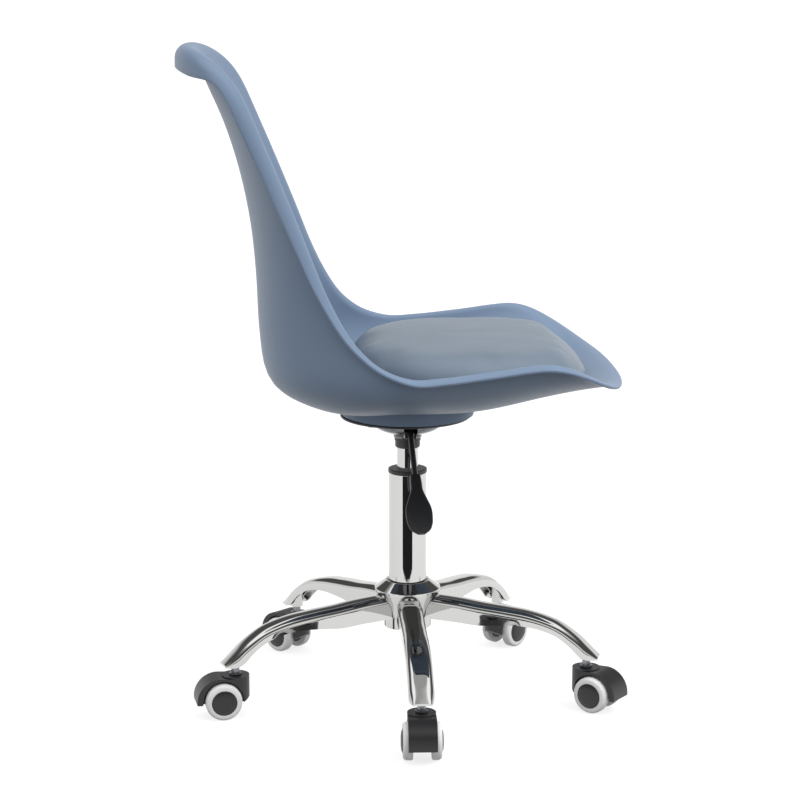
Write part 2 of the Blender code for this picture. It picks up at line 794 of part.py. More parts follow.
def rod_path_mesh(points, radius, sides=10):
    """Round bar along points in the XZ plane, with mitred bends."""
    vertices = []
    count = len(points)
    for index, (x, z) in enumerate(points):
        before = points[max(index - 1, 0)]
        after = points[min(index + 1, count - 1)]
        heading = math.atan2(after[1] - before[1], after[0] - before[0])
        into = math.atan2(z - before[1], x - before[0]) if index else heading
        stretch = 1 / max(math.cos(heading - into), 0.5)
        for side in range(sides):
            turn = 2 * math.pi * side / sides
            lift = radius * math.sin(turn) * stretch
            place = (x - lift * math.sin(heading), radius * math.cos(turn), z + lift * math.cos(heading))
            vertices.append(place)
    faces = [tuple(range(sides)), tuple(range(count * sides - 1, (count - 1) * sides - 1, -1))]
    for ring in range(count - 1):
        for side in range(sides):
            ahead = (side + 1) % sides
            near = ring * sides
            faces.append((near + side, near + ahead, near + sides + ahead, near + sides + side))
    return mesh_from(vertices, faces)


def lever_line(distance):
    """Point on the lever's sloping axis, in the lever's own plane with the pivot as origin."""
    slope = math.radians(LEVER_SLOPE)
    return (0.0065 + distance * math.cos(slope), -distance * math.sin(slope))


def lever_rod_mesh():
    end = lever_line(PADDLE_START + 0.0175)
    bar = rod_path_mesh([(-0.0195, 0), (0.0065, 0), end], LEVER_RADIUS)
    hole = across(disc(0.0021, -0.02, 0.02, 10))
    return combine(bar, hole, "DIFFERENCE")


def paddle_mesh():
    """Flat teardrop handle moulded over the end of the bar, its long axis along X."""
    rows = (
        (0.000, 0.0070, 0.0060),
        (0.010, 0.0077, 0.0062),
        (0.022, 0.0082, 0.0060),
        (0.036, 0.0128, 0.0055),
        (0.048, 0.0166, 0.0050),
        (0.062, 0.0172, 0.0044),
        (0.074, 0.0154, 0.0036),
        (0.082, 0.0112, 0.0028),
        (0.0865, 0.0050, 0.0020),
    )
    places = [row[0] for row in rows]
    sections = []
    for _, half, thick in rows:
        section = []
        for step in range(12):
            turn = 2 * math.pi * step / 12
            across_ = half * math.copysign(abs(math.cos(turn)) ** 0.7, math.cos(turn))
            up = thick * math.copysign(abs(math.sin(turn)) ** 0.7, math.sin(turn))
            section.append((across_, up))
        sections.append(section)
    body = loft(places, sections)
    hole = disc(LEVER_RADIUS + GAP, -0.01, 0.0180, 12)
    hole.transform(Matrix.Rotation(math.radians(90), 4, "Y"))
    return combine(body, hole, "DIFFERENCE")


def add_lever(root):
    pivot = bpy.data.objects.new("lever_pivot", None)
    bpy.context.scene.collection.objects.link(pivot)
    pivot.parent = root
    pivot.location = lever_pivot_place()
    pivot.rotation_euler.z = math.radians(LEVER_HEADING - 90)
    piece("lever_rod", lever_rod_mesh(), BLACK_STEEL, pivot)
    start = lever_line(PADDLE_START)
    paddle = piece("lever_paddle", paddle_mesh(), BLACK_PLASTIC, pivot, (start[0], 0, start[1]))
    paddle.rotation_euler.y = math.radians(LEVER_SLOPE)
    pin = across(disc(0.0018, -0.0430, 0.0430, 10))
    piece("lever_pivot_pin", pin, STEEL, pivot)


def add_mechanism(root):
    sleeve = lathe(
        [
            (CYLINDER_RADIUS + GAP, SLEEVE_BOTTOM),
            (SLEEVE_RADIUS - 0.0022, SLEEVE_BOTTOM),
            (SLEEVE_RADIUS - 0.0009, SLEEVE_BOTTOM + 0.0014),
            (SLEEVE_RADIUS - 0.0008, SLEEVE_BOTTOM + 0.0086),
            (SLEEVE_RADIUS, SLEEVE_BOTTOM + 0.0094),
            (SLEEVE_RADIUS, CONE_BOTTOM - GAP),
            (CYLINDER_RADIUS + GAP, CONE_BOTTOM - GAP),
        ]
    )
    piece("socket_sleeve", sleeve, BLACK_STEEL, root)
    piece("swivel_cone", cone_mesh(), CHROME, root)
    plate = lathe(
        [
            (0.0120, PLATE_BOTTOM),
            (PLATE_RADIUS - 0.0006, PLATE_BOTTOM),
            (PLATE_RADIUS, PLATE_BOTTOM + 0.0006),
            (PLATE_RADIUS, PLATE_BOTTOM + PLATE_THICKNESS),
            (0.0120, PLATE_BOTTOM + PLATE_THICKNESS),
        ],
        36,
    )
    plate.transform(Matrix.Translation((PLATE_X, 0, 0)))
    for x, y in bolt_places():
        hole = disc(0.0032, 0.37, 0.39, 10)
        hole.transform(Matrix.Translation((x, y, 0)))
        plate = combine(plate, hole, "DIFFERENCE")
    piece("mounting_plate", plate, BLACK_STEEL, root)
    for number, (x, y) in enumerate(bolt_places(), 1):
        under = PLATE_BOTTOM - GAP
        bolt = lathe(
            [
                (0, under - 0.0042),
                (0.0052, under - 0.0042),
                (0.0064, under - 0.0022),
                (0.0064, under),
                (0.0028, under),
                (0.0028, PLATE_BOTTOM + 0.0120),
                (0, PLATE_BOTTOM + 0.0120),
            ],
            12,
        )
        piece(f"seat_bolt_{number}", bolt, STEEL, root, (x, y, 0))


def bolt_places():
    return [
        (PLATE_X + side * BOLT_HALF_PITCH, hand * BOLT_HALF_PITCH)
        for side in (1, -1)
        for hand in (1, -1)
    ]


def add_seat(root):
    bottom = PLATE_BOTTOM + PLATE_THICKNESS + GAP
    shell = combine(shell_mesh(), foot_mesh(bottom), "UNION")
    for x, y in bolt_places():
        hole = disc(0.0031, 0.37, PLATE_BOTTOM + 0.0124, 10)
        hole.transform(Matrix.Translation((x, y, 0)))
        shell = combine(shell, hole, "DIFFERENCE")
    piece("seat_shell", shell, SHELL_BLUE, root)
    piece("seat_cushion", cushion_mesh(), CUSHION_BLUE, root)


clear_scene()
chair = bpy.data.objects.new("chair", None)
bpy.context.scene.collection.objects.link(chair)
chair.location = (COLUMN_X, COLUMN_Y, 0)
add_base(chair)
for caster_number in range(1, LEG_COUNT + 1):
    add_caster(caster_number, chair)
add_gas_lift(chair)
add_mechanism(chair)
add_lever(chair)
add_seat(chair)
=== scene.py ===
"""Visual model of the swivel desk chair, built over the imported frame. Lengths are in metres.

The seat column is the origin of every shape below; place() then moves a shape into the frame.
"""

import json
import math

import bmesh
import bpy
import numpy as np
from mathutils import Matrix, Vector
from mathutils.bvhtree import BVHTree


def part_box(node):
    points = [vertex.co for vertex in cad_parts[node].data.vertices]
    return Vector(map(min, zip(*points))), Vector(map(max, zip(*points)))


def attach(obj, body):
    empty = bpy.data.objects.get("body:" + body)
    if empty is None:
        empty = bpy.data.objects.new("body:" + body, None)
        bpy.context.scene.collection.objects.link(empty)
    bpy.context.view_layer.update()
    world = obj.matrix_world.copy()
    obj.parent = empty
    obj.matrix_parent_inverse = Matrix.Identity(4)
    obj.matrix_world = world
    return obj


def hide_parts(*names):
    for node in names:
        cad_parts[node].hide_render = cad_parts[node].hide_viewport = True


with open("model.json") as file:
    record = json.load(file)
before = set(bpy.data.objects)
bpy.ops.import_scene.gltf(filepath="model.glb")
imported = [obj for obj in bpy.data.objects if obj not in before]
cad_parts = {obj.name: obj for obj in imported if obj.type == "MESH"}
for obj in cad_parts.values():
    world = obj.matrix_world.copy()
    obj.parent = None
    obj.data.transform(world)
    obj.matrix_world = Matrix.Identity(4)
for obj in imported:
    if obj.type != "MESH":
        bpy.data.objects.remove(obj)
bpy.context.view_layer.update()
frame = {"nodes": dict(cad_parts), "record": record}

# The column's axis, from the tube that stands on it
tube_low, tube_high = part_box("column_outer_tube")
COLUMN = Vector(((tube_low.x + tube_high.x) / 2, (tube_low.y + tube_high.y) / 2, 0))

STEM_CIRCLE = 0.2421
TRAIL = 0.0180
WHEEL_RADIUS = 0.0240
CASTER_HEADINGS = (-92.0, -38.0, 46.0, 133.0, 188.0)

SHELL_THICKNESS = 0.0045
SHELL_STATIONS = (
    (-0.2685, 0.8540, -0.2310, 0.8650, 0.147, 50),
    (-0.2555, 0.8200, -0.2190, 0.8320, 0.153, 50),
    (-0.2365, 0.7780, -0.2050, 0.7890, 0.158, 50),
    (-0.2150, 0.7110, -0.1770, 0.7200, 0.162, 52),
    (-0.2000, 0.6350, -0.1475, 0.6440, 0.166, 55),
    (-0.1935, 0.5620, -0.1180, 0.5660, 0.176, 60),
    (-0.1905, 0.4950, -0.0880, 0.5110, 0.194, 66),
    (-0.1780, 0.4330, -0.0580, 0.4830, 0.212, 72),
    (-0.1230, 0.4035, -0.0260, 0.4700, 0.223, 78),
    (-0.0200, 0.3980, 0.0250, 0.4695, 0.224, 80),
    (0.0800, 0.3995, 0.0900, 0.4760, 0.221, 80),
    (0.1700, 0.4190, 0.1650, 0.4835, 0.219, 78),
    (0.2540, 0.4400, 0.2480, 0.4660, 0.212, 70),
)
SHELL_POWER = 2.1
SHELL_CENTRE = 0.62
TOP_CORNER = 0.13
TOP_POWER = 2.6
FRONT_CORNER = 0.86
FRONT_POWER = 2.3
FOOT_RADIUS = 0.0870

CUSHION_CENTRE = 0.7950
CUSHION_REACH = 0.1850
CUSHION_CROSS = 0.70
CUSHION_POWER = 2.7
CUSHION_CLEARANCE = 0.0030
# The cushion as blown-up cloth: how far it starts inside its shape, how far a point may move,
# how near it may come to the shell, and the steps of the simulation
PAD_SHRINK = 0.0025
PAD_CAP = 0.0040
PAD_CLEAR = 0.0022
PAD_VOXEL = 0.005
PAD_PRESSURE = 4
PAD_FRAMES = 20
PAD_SMOOTHING = 10

LEVER_HEADING = -87.0
LEVER_SLOPE = 44.0
LEVER_CORNER = 0.0065
LEVER_BAR_RADIUS = 0.0038
PADDLE_START = 0.0775
PADDLE_LENGTH = 0.0865
CUSHION_TOP = 0.4825
CUSHION_CROWN = 0.0060


# --- Camera and studio ---------------------------------------------------------------------


def add_camera():
    data = bpy.data.cameras.new("camera")
    data.sensor_width = 36
    data.lens = 112.27
    camera = bpy.data.objects.new("camera", data)
    bpy.context.scene.collection.objects.link(camera)
    camera.location = COLUMN + Vector((-0.2337, -3.1915, 1.0725))
    camera.rotation_euler = (math.radians(78.15), 0, math.radians(-4.01))
    data.clip_end = 50
    bpy.context.scene.camera = camera


FLOOR_REACH = 30
# The dark floor card: which way it lies, its near and far reach, and its half spread at each
FLAG_TOWARDS = -94.2
FLAG_NEAR, FLAG_FAR = 0.66, 6.0
FLAG_SPREAD_NEAR, FLAG_SPREAD_FAR = 29, 31
# Light by height of the direction, from straight down (0) to straight up (1).
SOFT_LEVELS = ((0.0, 0.12), (0.46, 0.24), (0.54, 0.68), (0.72, 1.05), (1.0, 1.35))
BAND_LEVELS = (
    (0.0, 1.0), (0.64, 1.0), (0.69, 0.10), (0.85, 0.10), (0.89, 0.50),
    (0.92, 1.5), (0.965, 1.5), (0.98, 0.50), (1.0, 0.50),
)


def nodes_of(tree):
    tree.nodes.clear()
    return tree.nodes, tree.links


def ramp_of(nodes, links, source, rows):
    """Grey level that follows a 0 to 1 source through (position, level) rows."""
    ramp = nodes.new("ShaderNodeValToRGB")
    elements = ramp.color_ramp.elements
    elements[0].position, elements[0].color = rows[0][0], (rows[0][1],) * 3 + (1,)
    elements[1].position, elements[1].color = rows[-1][0], (rows[-1][1],) * 3 + (1,)
    for position, level in rows[1:-1]:
        elements.new(position).color = (level,) * 3 + (1,)
    links.new(source, ramp.inputs["Fac"])
    return ramp.outputs["Color"]


def add_world():
    """White backdrop, soft light that falls off below, and strip lights for the plating."""
    world = bpy.data.worlds.new("studio")
    bpy.context.scene.world = world
    world.use_nodes = True
    nodes, links = nodes_of(world.node_tree)
    place = nodes.new("ShaderNodeTexCoord")
    split = nodes.new("ShaderNodeSeparateXYZ")
    rise = nodes.new("ShaderNodeMapRange")
    rise.inputs["From Min"].default_value = -1
    links.new(place.outputs["Generated"], split.inputs["Vector"])
    links.new(split.outputs["Z"], rise.inputs["Value"])
    soft = ramp_of(nodes, links, rise.outputs["Result"], SOFT_LEVELS)
    bands = ramp_of(nodes, links, rise.outputs["Result"], BAND_LEVELS)
    kind = nodes.new("ShaderNodeLightPath")
    last = None
    for level, share in ((soft, None), (bands, "Is Glossy Ray"), (None, "Is Camera Ray")):
        back = nodes.new("ShaderNodeBackground")
        if level:
            links.new(level, back.inputs["Color"])
        else:
            back.inputs["Color"].default_value = (1, 1, 1, 1)
        if last:
            mix = nodes.new("ShaderNodeMixShader")
            links.new(kind.outputs[share], mix.inputs[0])
            links.new(last, mix.inputs[1])
            links.new(back.outputs["Background"], mix.inputs[2])
            last = mix.outputs["Shader"]
        else:
            last = back.outputs["Background"]
    out = nodes.new("ShaderNodeOutputWorld")
    links.new(last, out.inputs["Surface"])


def emission(name, colour, strength):
    made = bpy.data.materials.new(name)
    made.use_nodes = True
    nodes, links = nodes_of(made.node_tree)
    glow = nodes.new("ShaderNodeEmission")
    out = nodes.new("ShaderNodeOutputMaterial")
    glow.inputs["Color"].default_value = (*colour, 1)
    glow.inputs["Strength"].default_value = strength
    links.new(glow.outputs["Emission"], out.inputs["Surface"])
    return made


def flat_piece(name, corners, look):
    mesh = bpy.data.meshes.new(name)
    mesh.from_pydata([tuple(c) for c in corners], [], [tuple(range(len(corners)))])
    mesh.materials.append(look)
    made = bpy.data.objects.new(name, mesh)
    bpy.context.scene.collection.objects.link(made)
    return made


def add_floor():
    made = bpy.data.materials.new("floor")
    made.use_nodes = True
    shader = made.node_tree.nodes["Principled BSDF"]
    shader.inputs["Base Color"].default_value = (0.30, 0.30, 0.30, 1)
    shader.inputs["Roughness"].default_value = 0.9
    shader.inputs["Specular IOR Level"].default_value = 0.1
    shader.inputs["Emission Color"].default_value = (1, 1, 1, 1)
    shader.inputs["Emission Strength"].default_value = 0.77
    far = FLOOR_REACH
    corners = [(-far, -far, 0), (far, -far, 0), (far, far, 0), (-far, far, 0)]
    flat_piece("floor", corners, made).visible_diffuse = False


def add_flag():
    """Dark floor beyond the sweep on the camera's side, which only reflections see."""
    look = emission("flag", (0.02, 0.02, 0.021), 1.0)
    near, far = FLAG_SPREAD_NEAR, FLAG_SPREAD_FAR
    corners = []
    for turn, reach in ((-near, FLAG_NEAR), (near, FLAG_NEAR), (far, FLAG_FAR), (-far, FLAG_FAR)):
        angle = math.radians(FLAG_TOWARDS + turn)
        corners.append(COLUMN + Vector((reach * math.cos(angle), reach * math.sin(angle), 0.002)))
    card = flat_piece("flag", corners, look)
    card.visible_camera = False
    card.visible_diffuse = False
    card.visible_shadow = False


def area_light(name, place, aim, size, power, glossy):
    data = bpy.data.lights.new(name, "AREA")
    data.shape = "RECTANGLE"
    data.size, data.size_y = size
    data.energy = power
    made = bpy.data.objects.new(name, data)
    bpy.context.scene.collection.objects.link(made)
    made.location = place
    made.rotation_euler = (Vector(aim) - Vector(place)).to_track_quat("-Z", "Y").to_euler()
    made.visible_glossy = glossy
    made.visible_camera = False


def add_studio():
    add_world()
    add_floor()
    add_flag()
    area_light("key", (1.85, -1.05, 2.35), (0, 0, 0.45), (2.0, 2.0), 50, False)
    bpy.context.scene.view_settings.view_transform = "Standard"


# --- Materials -----------------------------------------------------------------------------


def look(name, colour, metallic, roughness):
    made = bpy.data.materials.new(name)
    made.use_nodes = True
    shader = made.node_tree.nodes["Principled BSDF"]
    shader.inputs["Base Color"].default_value = (*colour, 1)
    shader.inputs["Metallic"].default_value = metallic
    shader.inputs["Roughness"].default_value = roughness
    return made, made.node_tree.nodes, made.node_tree.links, shader


def noise(nodes, links, scale, detail, stretch=None):
    place = nodes.new("ShaderNodeTexCoord")
    field = nodes.new("ShaderNodeTexNoise")
    field.inputs["Scale"].default_value = scale
    field.inputs["Detail"].default_value = detail
    if stretch:
        mapping = nodes.new("ShaderNodeMapping")
        mapping.inputs["Scale"].default_value = stretch
        links.new(place.outputs["Object"], mapping.inputs["Vector"])
        links.new(mapping.outputs["Vector"], field.inputs["Vector"])
    else:
        links.new(place.outputs["Object"], field.inputs["Vector"])
    return field


def ramped(nodes, links, source, rows):
    ramp = nodes.new("ShaderNodeValToRGB")
    elements = ramp.color_ramp.elements
    elements[0].position, elements[0].color = rows[0][0], (*rows[0][1], 1)
    elements[1].position, elements[1].color = rows[-1][0], (*rows[-1][1], 1)
    for position, colour in rows[1:-1]:
        elements.new(position).color = (*colour, 1)
    links.new(source, ramp.inputs["Fac"])
    return ramp.outputs["Color"]


def bump(nodes, links, height, distance, strength, before=None):
    made = nodes.new("ShaderNodeBump")
    made.inputs["Distance"].default_value = distance
    made.inputs["Strength"].default_value = strength
    links.new(height, made.inputs["Height"])
    if before:
        links.new(before, made.inputs["Normal"])
    return made.outputs["Normal"]


def shaded(colour, share):
    return tuple(share * c for c in colour)


def plastic(name, colour, roughness, grain, depth, spread=0.04, gloss=0.5):
    """Moulded plastic: a fine spark-eroded grain and a faint drift of tone."""
    made, nodes, links, shader = look(name, colour, 0, roughness)
    shader.inputs["Specular IOR Level"].default_value = gloss
    drift = noise(nodes, links, 14, 3)
    rows = ((0.3, shaded(colour, 1 - spread)), (0.7, shaded(colour, 1 + spread)))
    links.new(ramped(nodes, links, drift.outputs["Fac"], rows), shader.inputs["Base Color"])
    fine = noise(nodes, links, grain, 2)
    rough = nodes.new("ShaderNodeMapRange")
    rough.inputs["To Min"].default_value = roughness - 0.05
    rough.inputs["To Max"].default_value = roughness + 0.07
    links.new(fine.outputs["Fac"], rough.inputs["Value"])
    links.new(rough.outputs["Result"], shader.inputs["Roughness"])
    links.new(bump(nodes, links, fine.outputs["Fac"], depth, 0.5), shader.inputs["Normal"])
    return made


def chrome(name, tint, rough_low, rough_high):
    """Mirror plating: faint waviness under it and hairline polish marks in the gloss."""
    made, nodes, links, shader = look(name, tint, 1, rough_low)
    smear = noise(nodes, links, 60, 5)
    rough = nodes.new("ShaderNodeMapRange")
    rough.inputs["From Min"].default_value = 0.35
    rough.inputs["From Max"].default_value = 0.75
    rough.inputs["To Min"].default_value = rough_low
    rough.inputs["To Max"].default_value = rough_high
    links.new(smear.outputs["Fac"], rough.inputs["Value"])
    links.new(rough.outputs["Result"], shader.inputs["Roughness"])
    wave = noise(nodes, links, 45, 1)
    links.new(bump(nodes, links, wave.outputs["Fac"], 0.0001, 0.25), shader.inputs["Normal"])
    return made


def leather(name, colour):
    """Synthetic leather: small pebbles with creases between them, over a slow drift of tone."""
    made, nodes, links, shader = look(name, colour, 0, 0.42)
    shader.inputs["Sheen Weight"].default_value = 0.08
    place = nodes.new("ShaderNodeTexCoord")
    pebble = nodes.new("ShaderNodeTexVoronoi")
    pebble.feature = "DISTANCE_TO_EDGE"
    pebble.inputs["Scale"].default_value = 900
    links.new(place.outputs["Object"], pebble.inputs["Vector"])
    crease = nodes.new("ShaderNodeMapRange")
    crease.inputs["From Max"].default_value = 0.25
    links.new(pebble.outputs["Distance"], crease.inputs["Value"])
    drift = noise(nodes, links, 20, 4)
    rows = ((0.3, shaded(colour, 0.95)), (0.7, shaded(colour, 1.05)))
    links.new(ramped(nodes, links, drift.outputs["Fac"], rows), shader.inputs["Base Color"])
    soft = noise(nodes, links, 70, 3)
    first = bump(nodes, links, soft.outputs["Fac"], 0.0006, 0.35)
    links.new(
        bump(nodes, links, crease.outputs["Result"], 0.00012, 0.5, first), shader.inputs["Normal"]
    )
    return made


def steel(name, colour, roughness):
    made, nodes, links, shader = look(name, colour, 1, roughness)
    turned = noise(nodes, links, 120, 4, (1, 1, 12))
    rough = nodes.new("ShaderNodeMapRange")
    rough.inputs["To Min"].default_value = roughness - 0.08
    rough.inputs["To Max"].default_value = roughness + 0.12
    links.new(turned.outputs["Fac"], rough.inputs["Value"])
    links.new(rough.outputs["Result"], shader.inputs["Roughness"])
    links.new(bump(nodes, links, turned.outputs["Fac"], 0.00004, 0.4), shader.inputs["Normal"])
    return made


LOOKS = {
    "dark_chrome": chrome("dark_chrome", (0.150, 0.155, 0.165), 0.14, 0.22),
    "chrome": chrome("chrome", (0.57, 0.57, 0.56), 0.02, 0.05),
    "steel": steel("steel", (0.24, 0.25, 0.27), 0.24),
    "black_steel": plastic("black_steel", (0.018, 0.018, 0.019), 0.38, 700, 0.0001, 0.1),
    "black_plastic": plastic("black_plastic", (0.014, 0.014, 0.015), 0.40, 1600, 0.00008, 0.1),
    "tyre": plastic("tyre", (0.80, 0.80, 0.80), 0.48, 800, 0.0001, 0.03),
    "shell": plastic("shell", (0.166, 0.230, 0.332), 0.42, 2200, 0.00005, 0.012, 0.26),
    "cushion": leather("cushion", (0.140, 0.183, 0.235)),
}


# --- Mesh tools ----------------------------------------------------------------------------


def mesh_from(vertices, faces):
    mesh = bpy.data.meshes.new("piece")
    mesh.from_pydata([tuple(map(float, v)) for v in vertices], [], faces)
    work = bmesh.new()
    work.from_mesh(mesh)
    bmesh.ops.remove_doubles(work, verts=work.verts, dist=0.000001)
    bmesh.ops.recalc_face_normals(work, faces=work.faces)
    if work.calc_volume(signed=True) < 0:
        bmesh.ops.reverse_faces(work, faces=work.faces)
    work.to_mesh(mesh)
    work.free()
    return mesh


def place(
    name, mesh, slot, body, nodes, turn=0.0, offset=(0, 0, 0), sharp=35, crisp=True, finish=None
):
    """Stands a mesh in the frame, on its body, in place of the CAD nodes it refines.

    crisp keeps flat faces flat beside their rounded edges. finish is a look other than the slot's.
    """
    made = bpy.data.objects.new(name, mesh)
    bpy.context.scene.collection.objects.link(made)
    made.matrix_world = (
        Matrix.Translation(COLUMN + Vector(offset)) @ Matrix.Rotation(math.radians(turn), 4, "Z")
    )
    mesh.materials.clear()
    mesh.materials.append(LOOKS[finish or slot])
    mesh.shade_smooth()
    mesh.set_sharp_from_angle(angle=math.radians(sharp))
    if crisp:
        made.modifiers.new("Normals", "WEIGHTED_NORMAL").keep_sharp = True
    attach(made, body)
    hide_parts(*nodes)
    return made


def lathe(profile, segments=96):
    """Turns a closed (radius, z) outline about Z. A point on the axis becomes one vertex."""
    vertices = []
    rows = []
    for radius, z in profile:
        if radius == 0:
            rows.append([len(vertices)] * segments)
            vertices.append((0, 0, z))
            continue
        rows.append(list(range(len(vertices), len(vertices) + segments)))
        for step in range(segments):
            turn = 2 * math.pi * step / segments
            vertices.append((radius * math.cos(turn), radius * math.sin(turn), z))
    faces = []
    for index, row in enumerate(rows):
        after = rows[(index + 1) % len(rows)]
        for step in range(segments):
            ahead = (step + 1) % segments
            corners = [row[step], row[ahead], after[ahead], after[step]]
            kept = list(dict.fromkeys(corners))
            if len(kept) > 2:
                faces.append(kept)
    return mesh_from(vertices, faces)


def disc(radius, low, high, segments=96):
    return lathe([(0, low), (radius, low), (radius, high), (0, high)], segments)


def across(mesh):
    mesh.transform(Matrix.Rotation(math.radians(-90), 4, "X"))
    return mesh


def prism(outline, low, high):
    count = len(outline)
    vertices = [(x, low, z) for x, z in outline] + [(x, high, z) for x, z in outline]
    faces = [list(range(count)), list(range(2 * count - 1, count - 1, -1))]
    for step in range(count):
        ahead = (step + 1) % count
        faces.append([step, ahead, count + ahead, count + step])
    return mesh_from(vertices, faces)


def box(low, high):
    outline = [(low[0], low[2]), (high[0], low[2]), (high[0], high[2]), (low[0], high[2])]
    return prism(outline, low[1], high[1])


def evaluated(item):
    bpy.context.view_layer.update()
    graph = bpy.context.evaluated_depsgraph_get()
    return bpy.data.meshes.new_from_object(item.evaluated_get(graph))


def combine(mesh, other, operation):
    body = bpy.data.objects.new("body", mesh)
    tool = bpy.data.objects.new("tool", other)
    for item in (body, tool):
        bpy.context.scene.collection.objects.link(item)
    step = body.modifiers.new("Boolean", "BOOLEAN")
    step.operation = operation
    step.solver = "EXACT"
    step.object = tool
    result = evaluated(body)
    for item in (body, tool):
        bpy.data.objects.remove(item, do_unlink=True)
    return result


def softened(mesh, width, segments=2, angle=32):
    """Rounds the sharp edges of a mesh."""
    item = bpy.data.objects.new("item", mesh)
    bpy.context.scene.collection.objects.link(item)
    step = item.modifiers.new("Bevel", "BEVEL")
    step.width = width
    step.segments = segments
    step.limit_method = "ANGLE"
    step.angle_limit = math.radians(angle)
    step.use_clamp_overlap = True
    result = evaluated(item)
    bpy.data.objects.remove(item, do_unlink=True)
    return result


def pole_to_pole(first, rows, last):
    """Closed skin over equal rings of points, with one point closing each end."""
    count = len(rows[0])
    vertices = np.concatenate([np.array(first)[None], *rows, np.array(last)[None]])
    faces = [(0, 1 + step, 1 + (step + 1) % count) for step in range(count)]
    for ring in range(len(rows) - 1):
        inner = 1 + ring * count
        outer = inner + count
        for step in range(count):
            ahead = (step + 1) % count
            faces.append((inner + step, outer + step, outer + ahead, inner + ahead))
    end = 1 + (len(rows) - 1) * count
    for step in range(count):
        faces.append((end + step, len(vertices) - 1, end + (step + 1) % count))
    return mesh_from(vertices, faces)


def spline(places, values, wanted):
    """Smooth cubic curve through the rows of values at the given places."""
    places = np.asarray(places, float)
    values = np.asarray(values, float)
    spans = np.diff(places)
    slopes = np.diff(values, axis=0) / spans[:, None]
    tangents = np.empty_like(values)
    weighted = slopes[:-1] * spans[1:, None] + slopes[1:] * spans[:-1, None]
    tangents[1:-1] = weighted / (spans[1:] + spans[:-1])[:, None]
    tangents[0] = 1.5 * slopes[0] - 0.5 * tangents[1]
    tangents[-1] = 1.5 * slopes[-1] - 0.5 * tangents[-2]
    wanted = np.clip(wanted, places[0], places[-1])
    at = np.clip(np.searchsorted(places, wanted) - 1, 0, len(places) - 2)
    share = ((wanted - places[at]) / spans[at])[..., None]
    span = spans[at][..., None]
    start = (1 + 2 * share) * (1 - share) ** 2 * values[at]
    leave = share * (1 - share) ** 2 * span * tangents[at]
    end = share**2 * (3 - 2 * share) * values[at + 1]
    arrive = share**2 * (share - 1) * span * tangents[at + 1]
    return start + leave + end + arrive


def ease(values, low, high):
    share = np.clip((values - low) / (high - low), 0, 1)
    return share * share * (3 - 2 * share)


# --- Shell ---------------------------------------------------------------------------------


def station_places():
    rows = np.array(SHELL_STATIONS)
    steps = np.hypot(np.diff(rows[:, 0]), np.diff(rows[:, 1]))
    length = np.concatenate([[0], np.cumsum(steps)])
    return length / length[-1]


def fair_rows(count=601, width=0.016):
    """The stations as one dense, fair set of rows, with the spline's small ripples averaged out."""
    along = np.linspace(0, 1, count)
    rows = spline(station_places(), SHELL_STATIONS, along)
    reach = int(3 * width * count)
    low = 2 * rows[0] - rows[reach:0:-1]
    high = 2 * rows[-1] - rows[-2 : -reach - 2 : -1]
    padded = np.concatenate([low, rows, high])
    offsets = np.arange(-reach, reach + 1) / count
    weights = np.exp(-0.5 * (offsets / width) ** 2)
    weights /= weights.sum()
    fair = [np.convolve(padded[:, column], weights, "valid") for column in range(6)]
    return along, np.stack(fair, -1)


FAIR_ALONG, FAIR_ROWS = fair_rows()


def shell_point(along, cross):
    """Middle of the shell wall. along runs 0 to 1 from the top edge to the front lip."""
    along = np.asarray(along, float)
    cross = np.asarray(cross, float)
    row = [np.interp(along, FAIR_ALONG, FAIR_ROWS[:, column]) for column in range(6)]
    wall = np.radians(row[5])
    turn = np.abs(cross) * wall
    power = 2 / SHELL_POWER
    side = (np.sin(turn) / np.sin(wall)) ** power
    rise = (1 - np.cos(turn) ** power) / (1 - np.cos(wall) ** power)
    x = row[0] + (row[2] - row[0]) * rise
    y = np.sign(cross) * side * row[4]
    z = row[1] + (row[3] - row[1]) * rise
    return np.stack([x, y, z], -1)


def rim_shares(count):
    """The wall's edge as (along, cross) pairs, evenly spaced, starting at the front lip."""
    turn = np.linspace(0, math.pi / 2, 600)
    front = np.stack(
        [
            FRONT_CORNER + (1 - FRONT_CORNER) * np.cos(turn) ** (2 / FRONT_POWER),
            np.sin(turn) ** (2 / FRONT_POWER),
        ],
        -1,
    )
    side = np.stack([np.linspace(FRONT_CORNER, TOP_CORNER, 400)[1:-1], np.ones(398)], -1)
    top = np.stack(
        [TOP_CORNER * (1 - np.cos(turn) ** (2 / TOP_POWER)), np.sin(turn) ** (2 / TOP_POWER)], -1
    )[::-1]
    half = np.concatenate([front, side, top])
    points = shell_point(half[:, 0], half[:, 1])
    steps = np.linalg.norm(np.diff(points, axis=0), axis=1)
    length = np.concatenate([[0], np.cumsum(steps)])
    wanted = np.linspace(0, length[-1], count // 2 + 1)
    along = np.interp(wanted, length, half[:, 0])
    cross = np.interp(wanted, length, half[:, 1])
    back = slice(-2, 0, -1)
    return np.concatenate([np.stack([along, cross], -1), np.stack([along[back], -cross[back]], -1)])


def edge_roll(along):
    """Roll radius, sweep and straight end of the turned-out edge for each point of the rim."""
    top = 1 - ease(along, 0.004, 0.050)
    front = ease(along, 0.86, 1.0)
    seat = ease(along, 0.22, 0.56)
    radius = 0.0130 * (1 - seat) + 0.0065 * seat
    sweep = 118.0 * (1 - seat) + 95.0 * seat
    straight = 0.003 + 0.003 * seat
    sweep = sweep * (1 - top) + 158.0 * top
    straight = straight * (1 - top) + 0.011 * top
    radius = radius * (1 - front) + 0.045 * front
    sweep = sweep * (1 - front) + 18.0 * front
    straight = straight * (1 - front) + 0.002 * front
    return radius[:, None], np.radians(sweep)[:, None], straight[:, None]


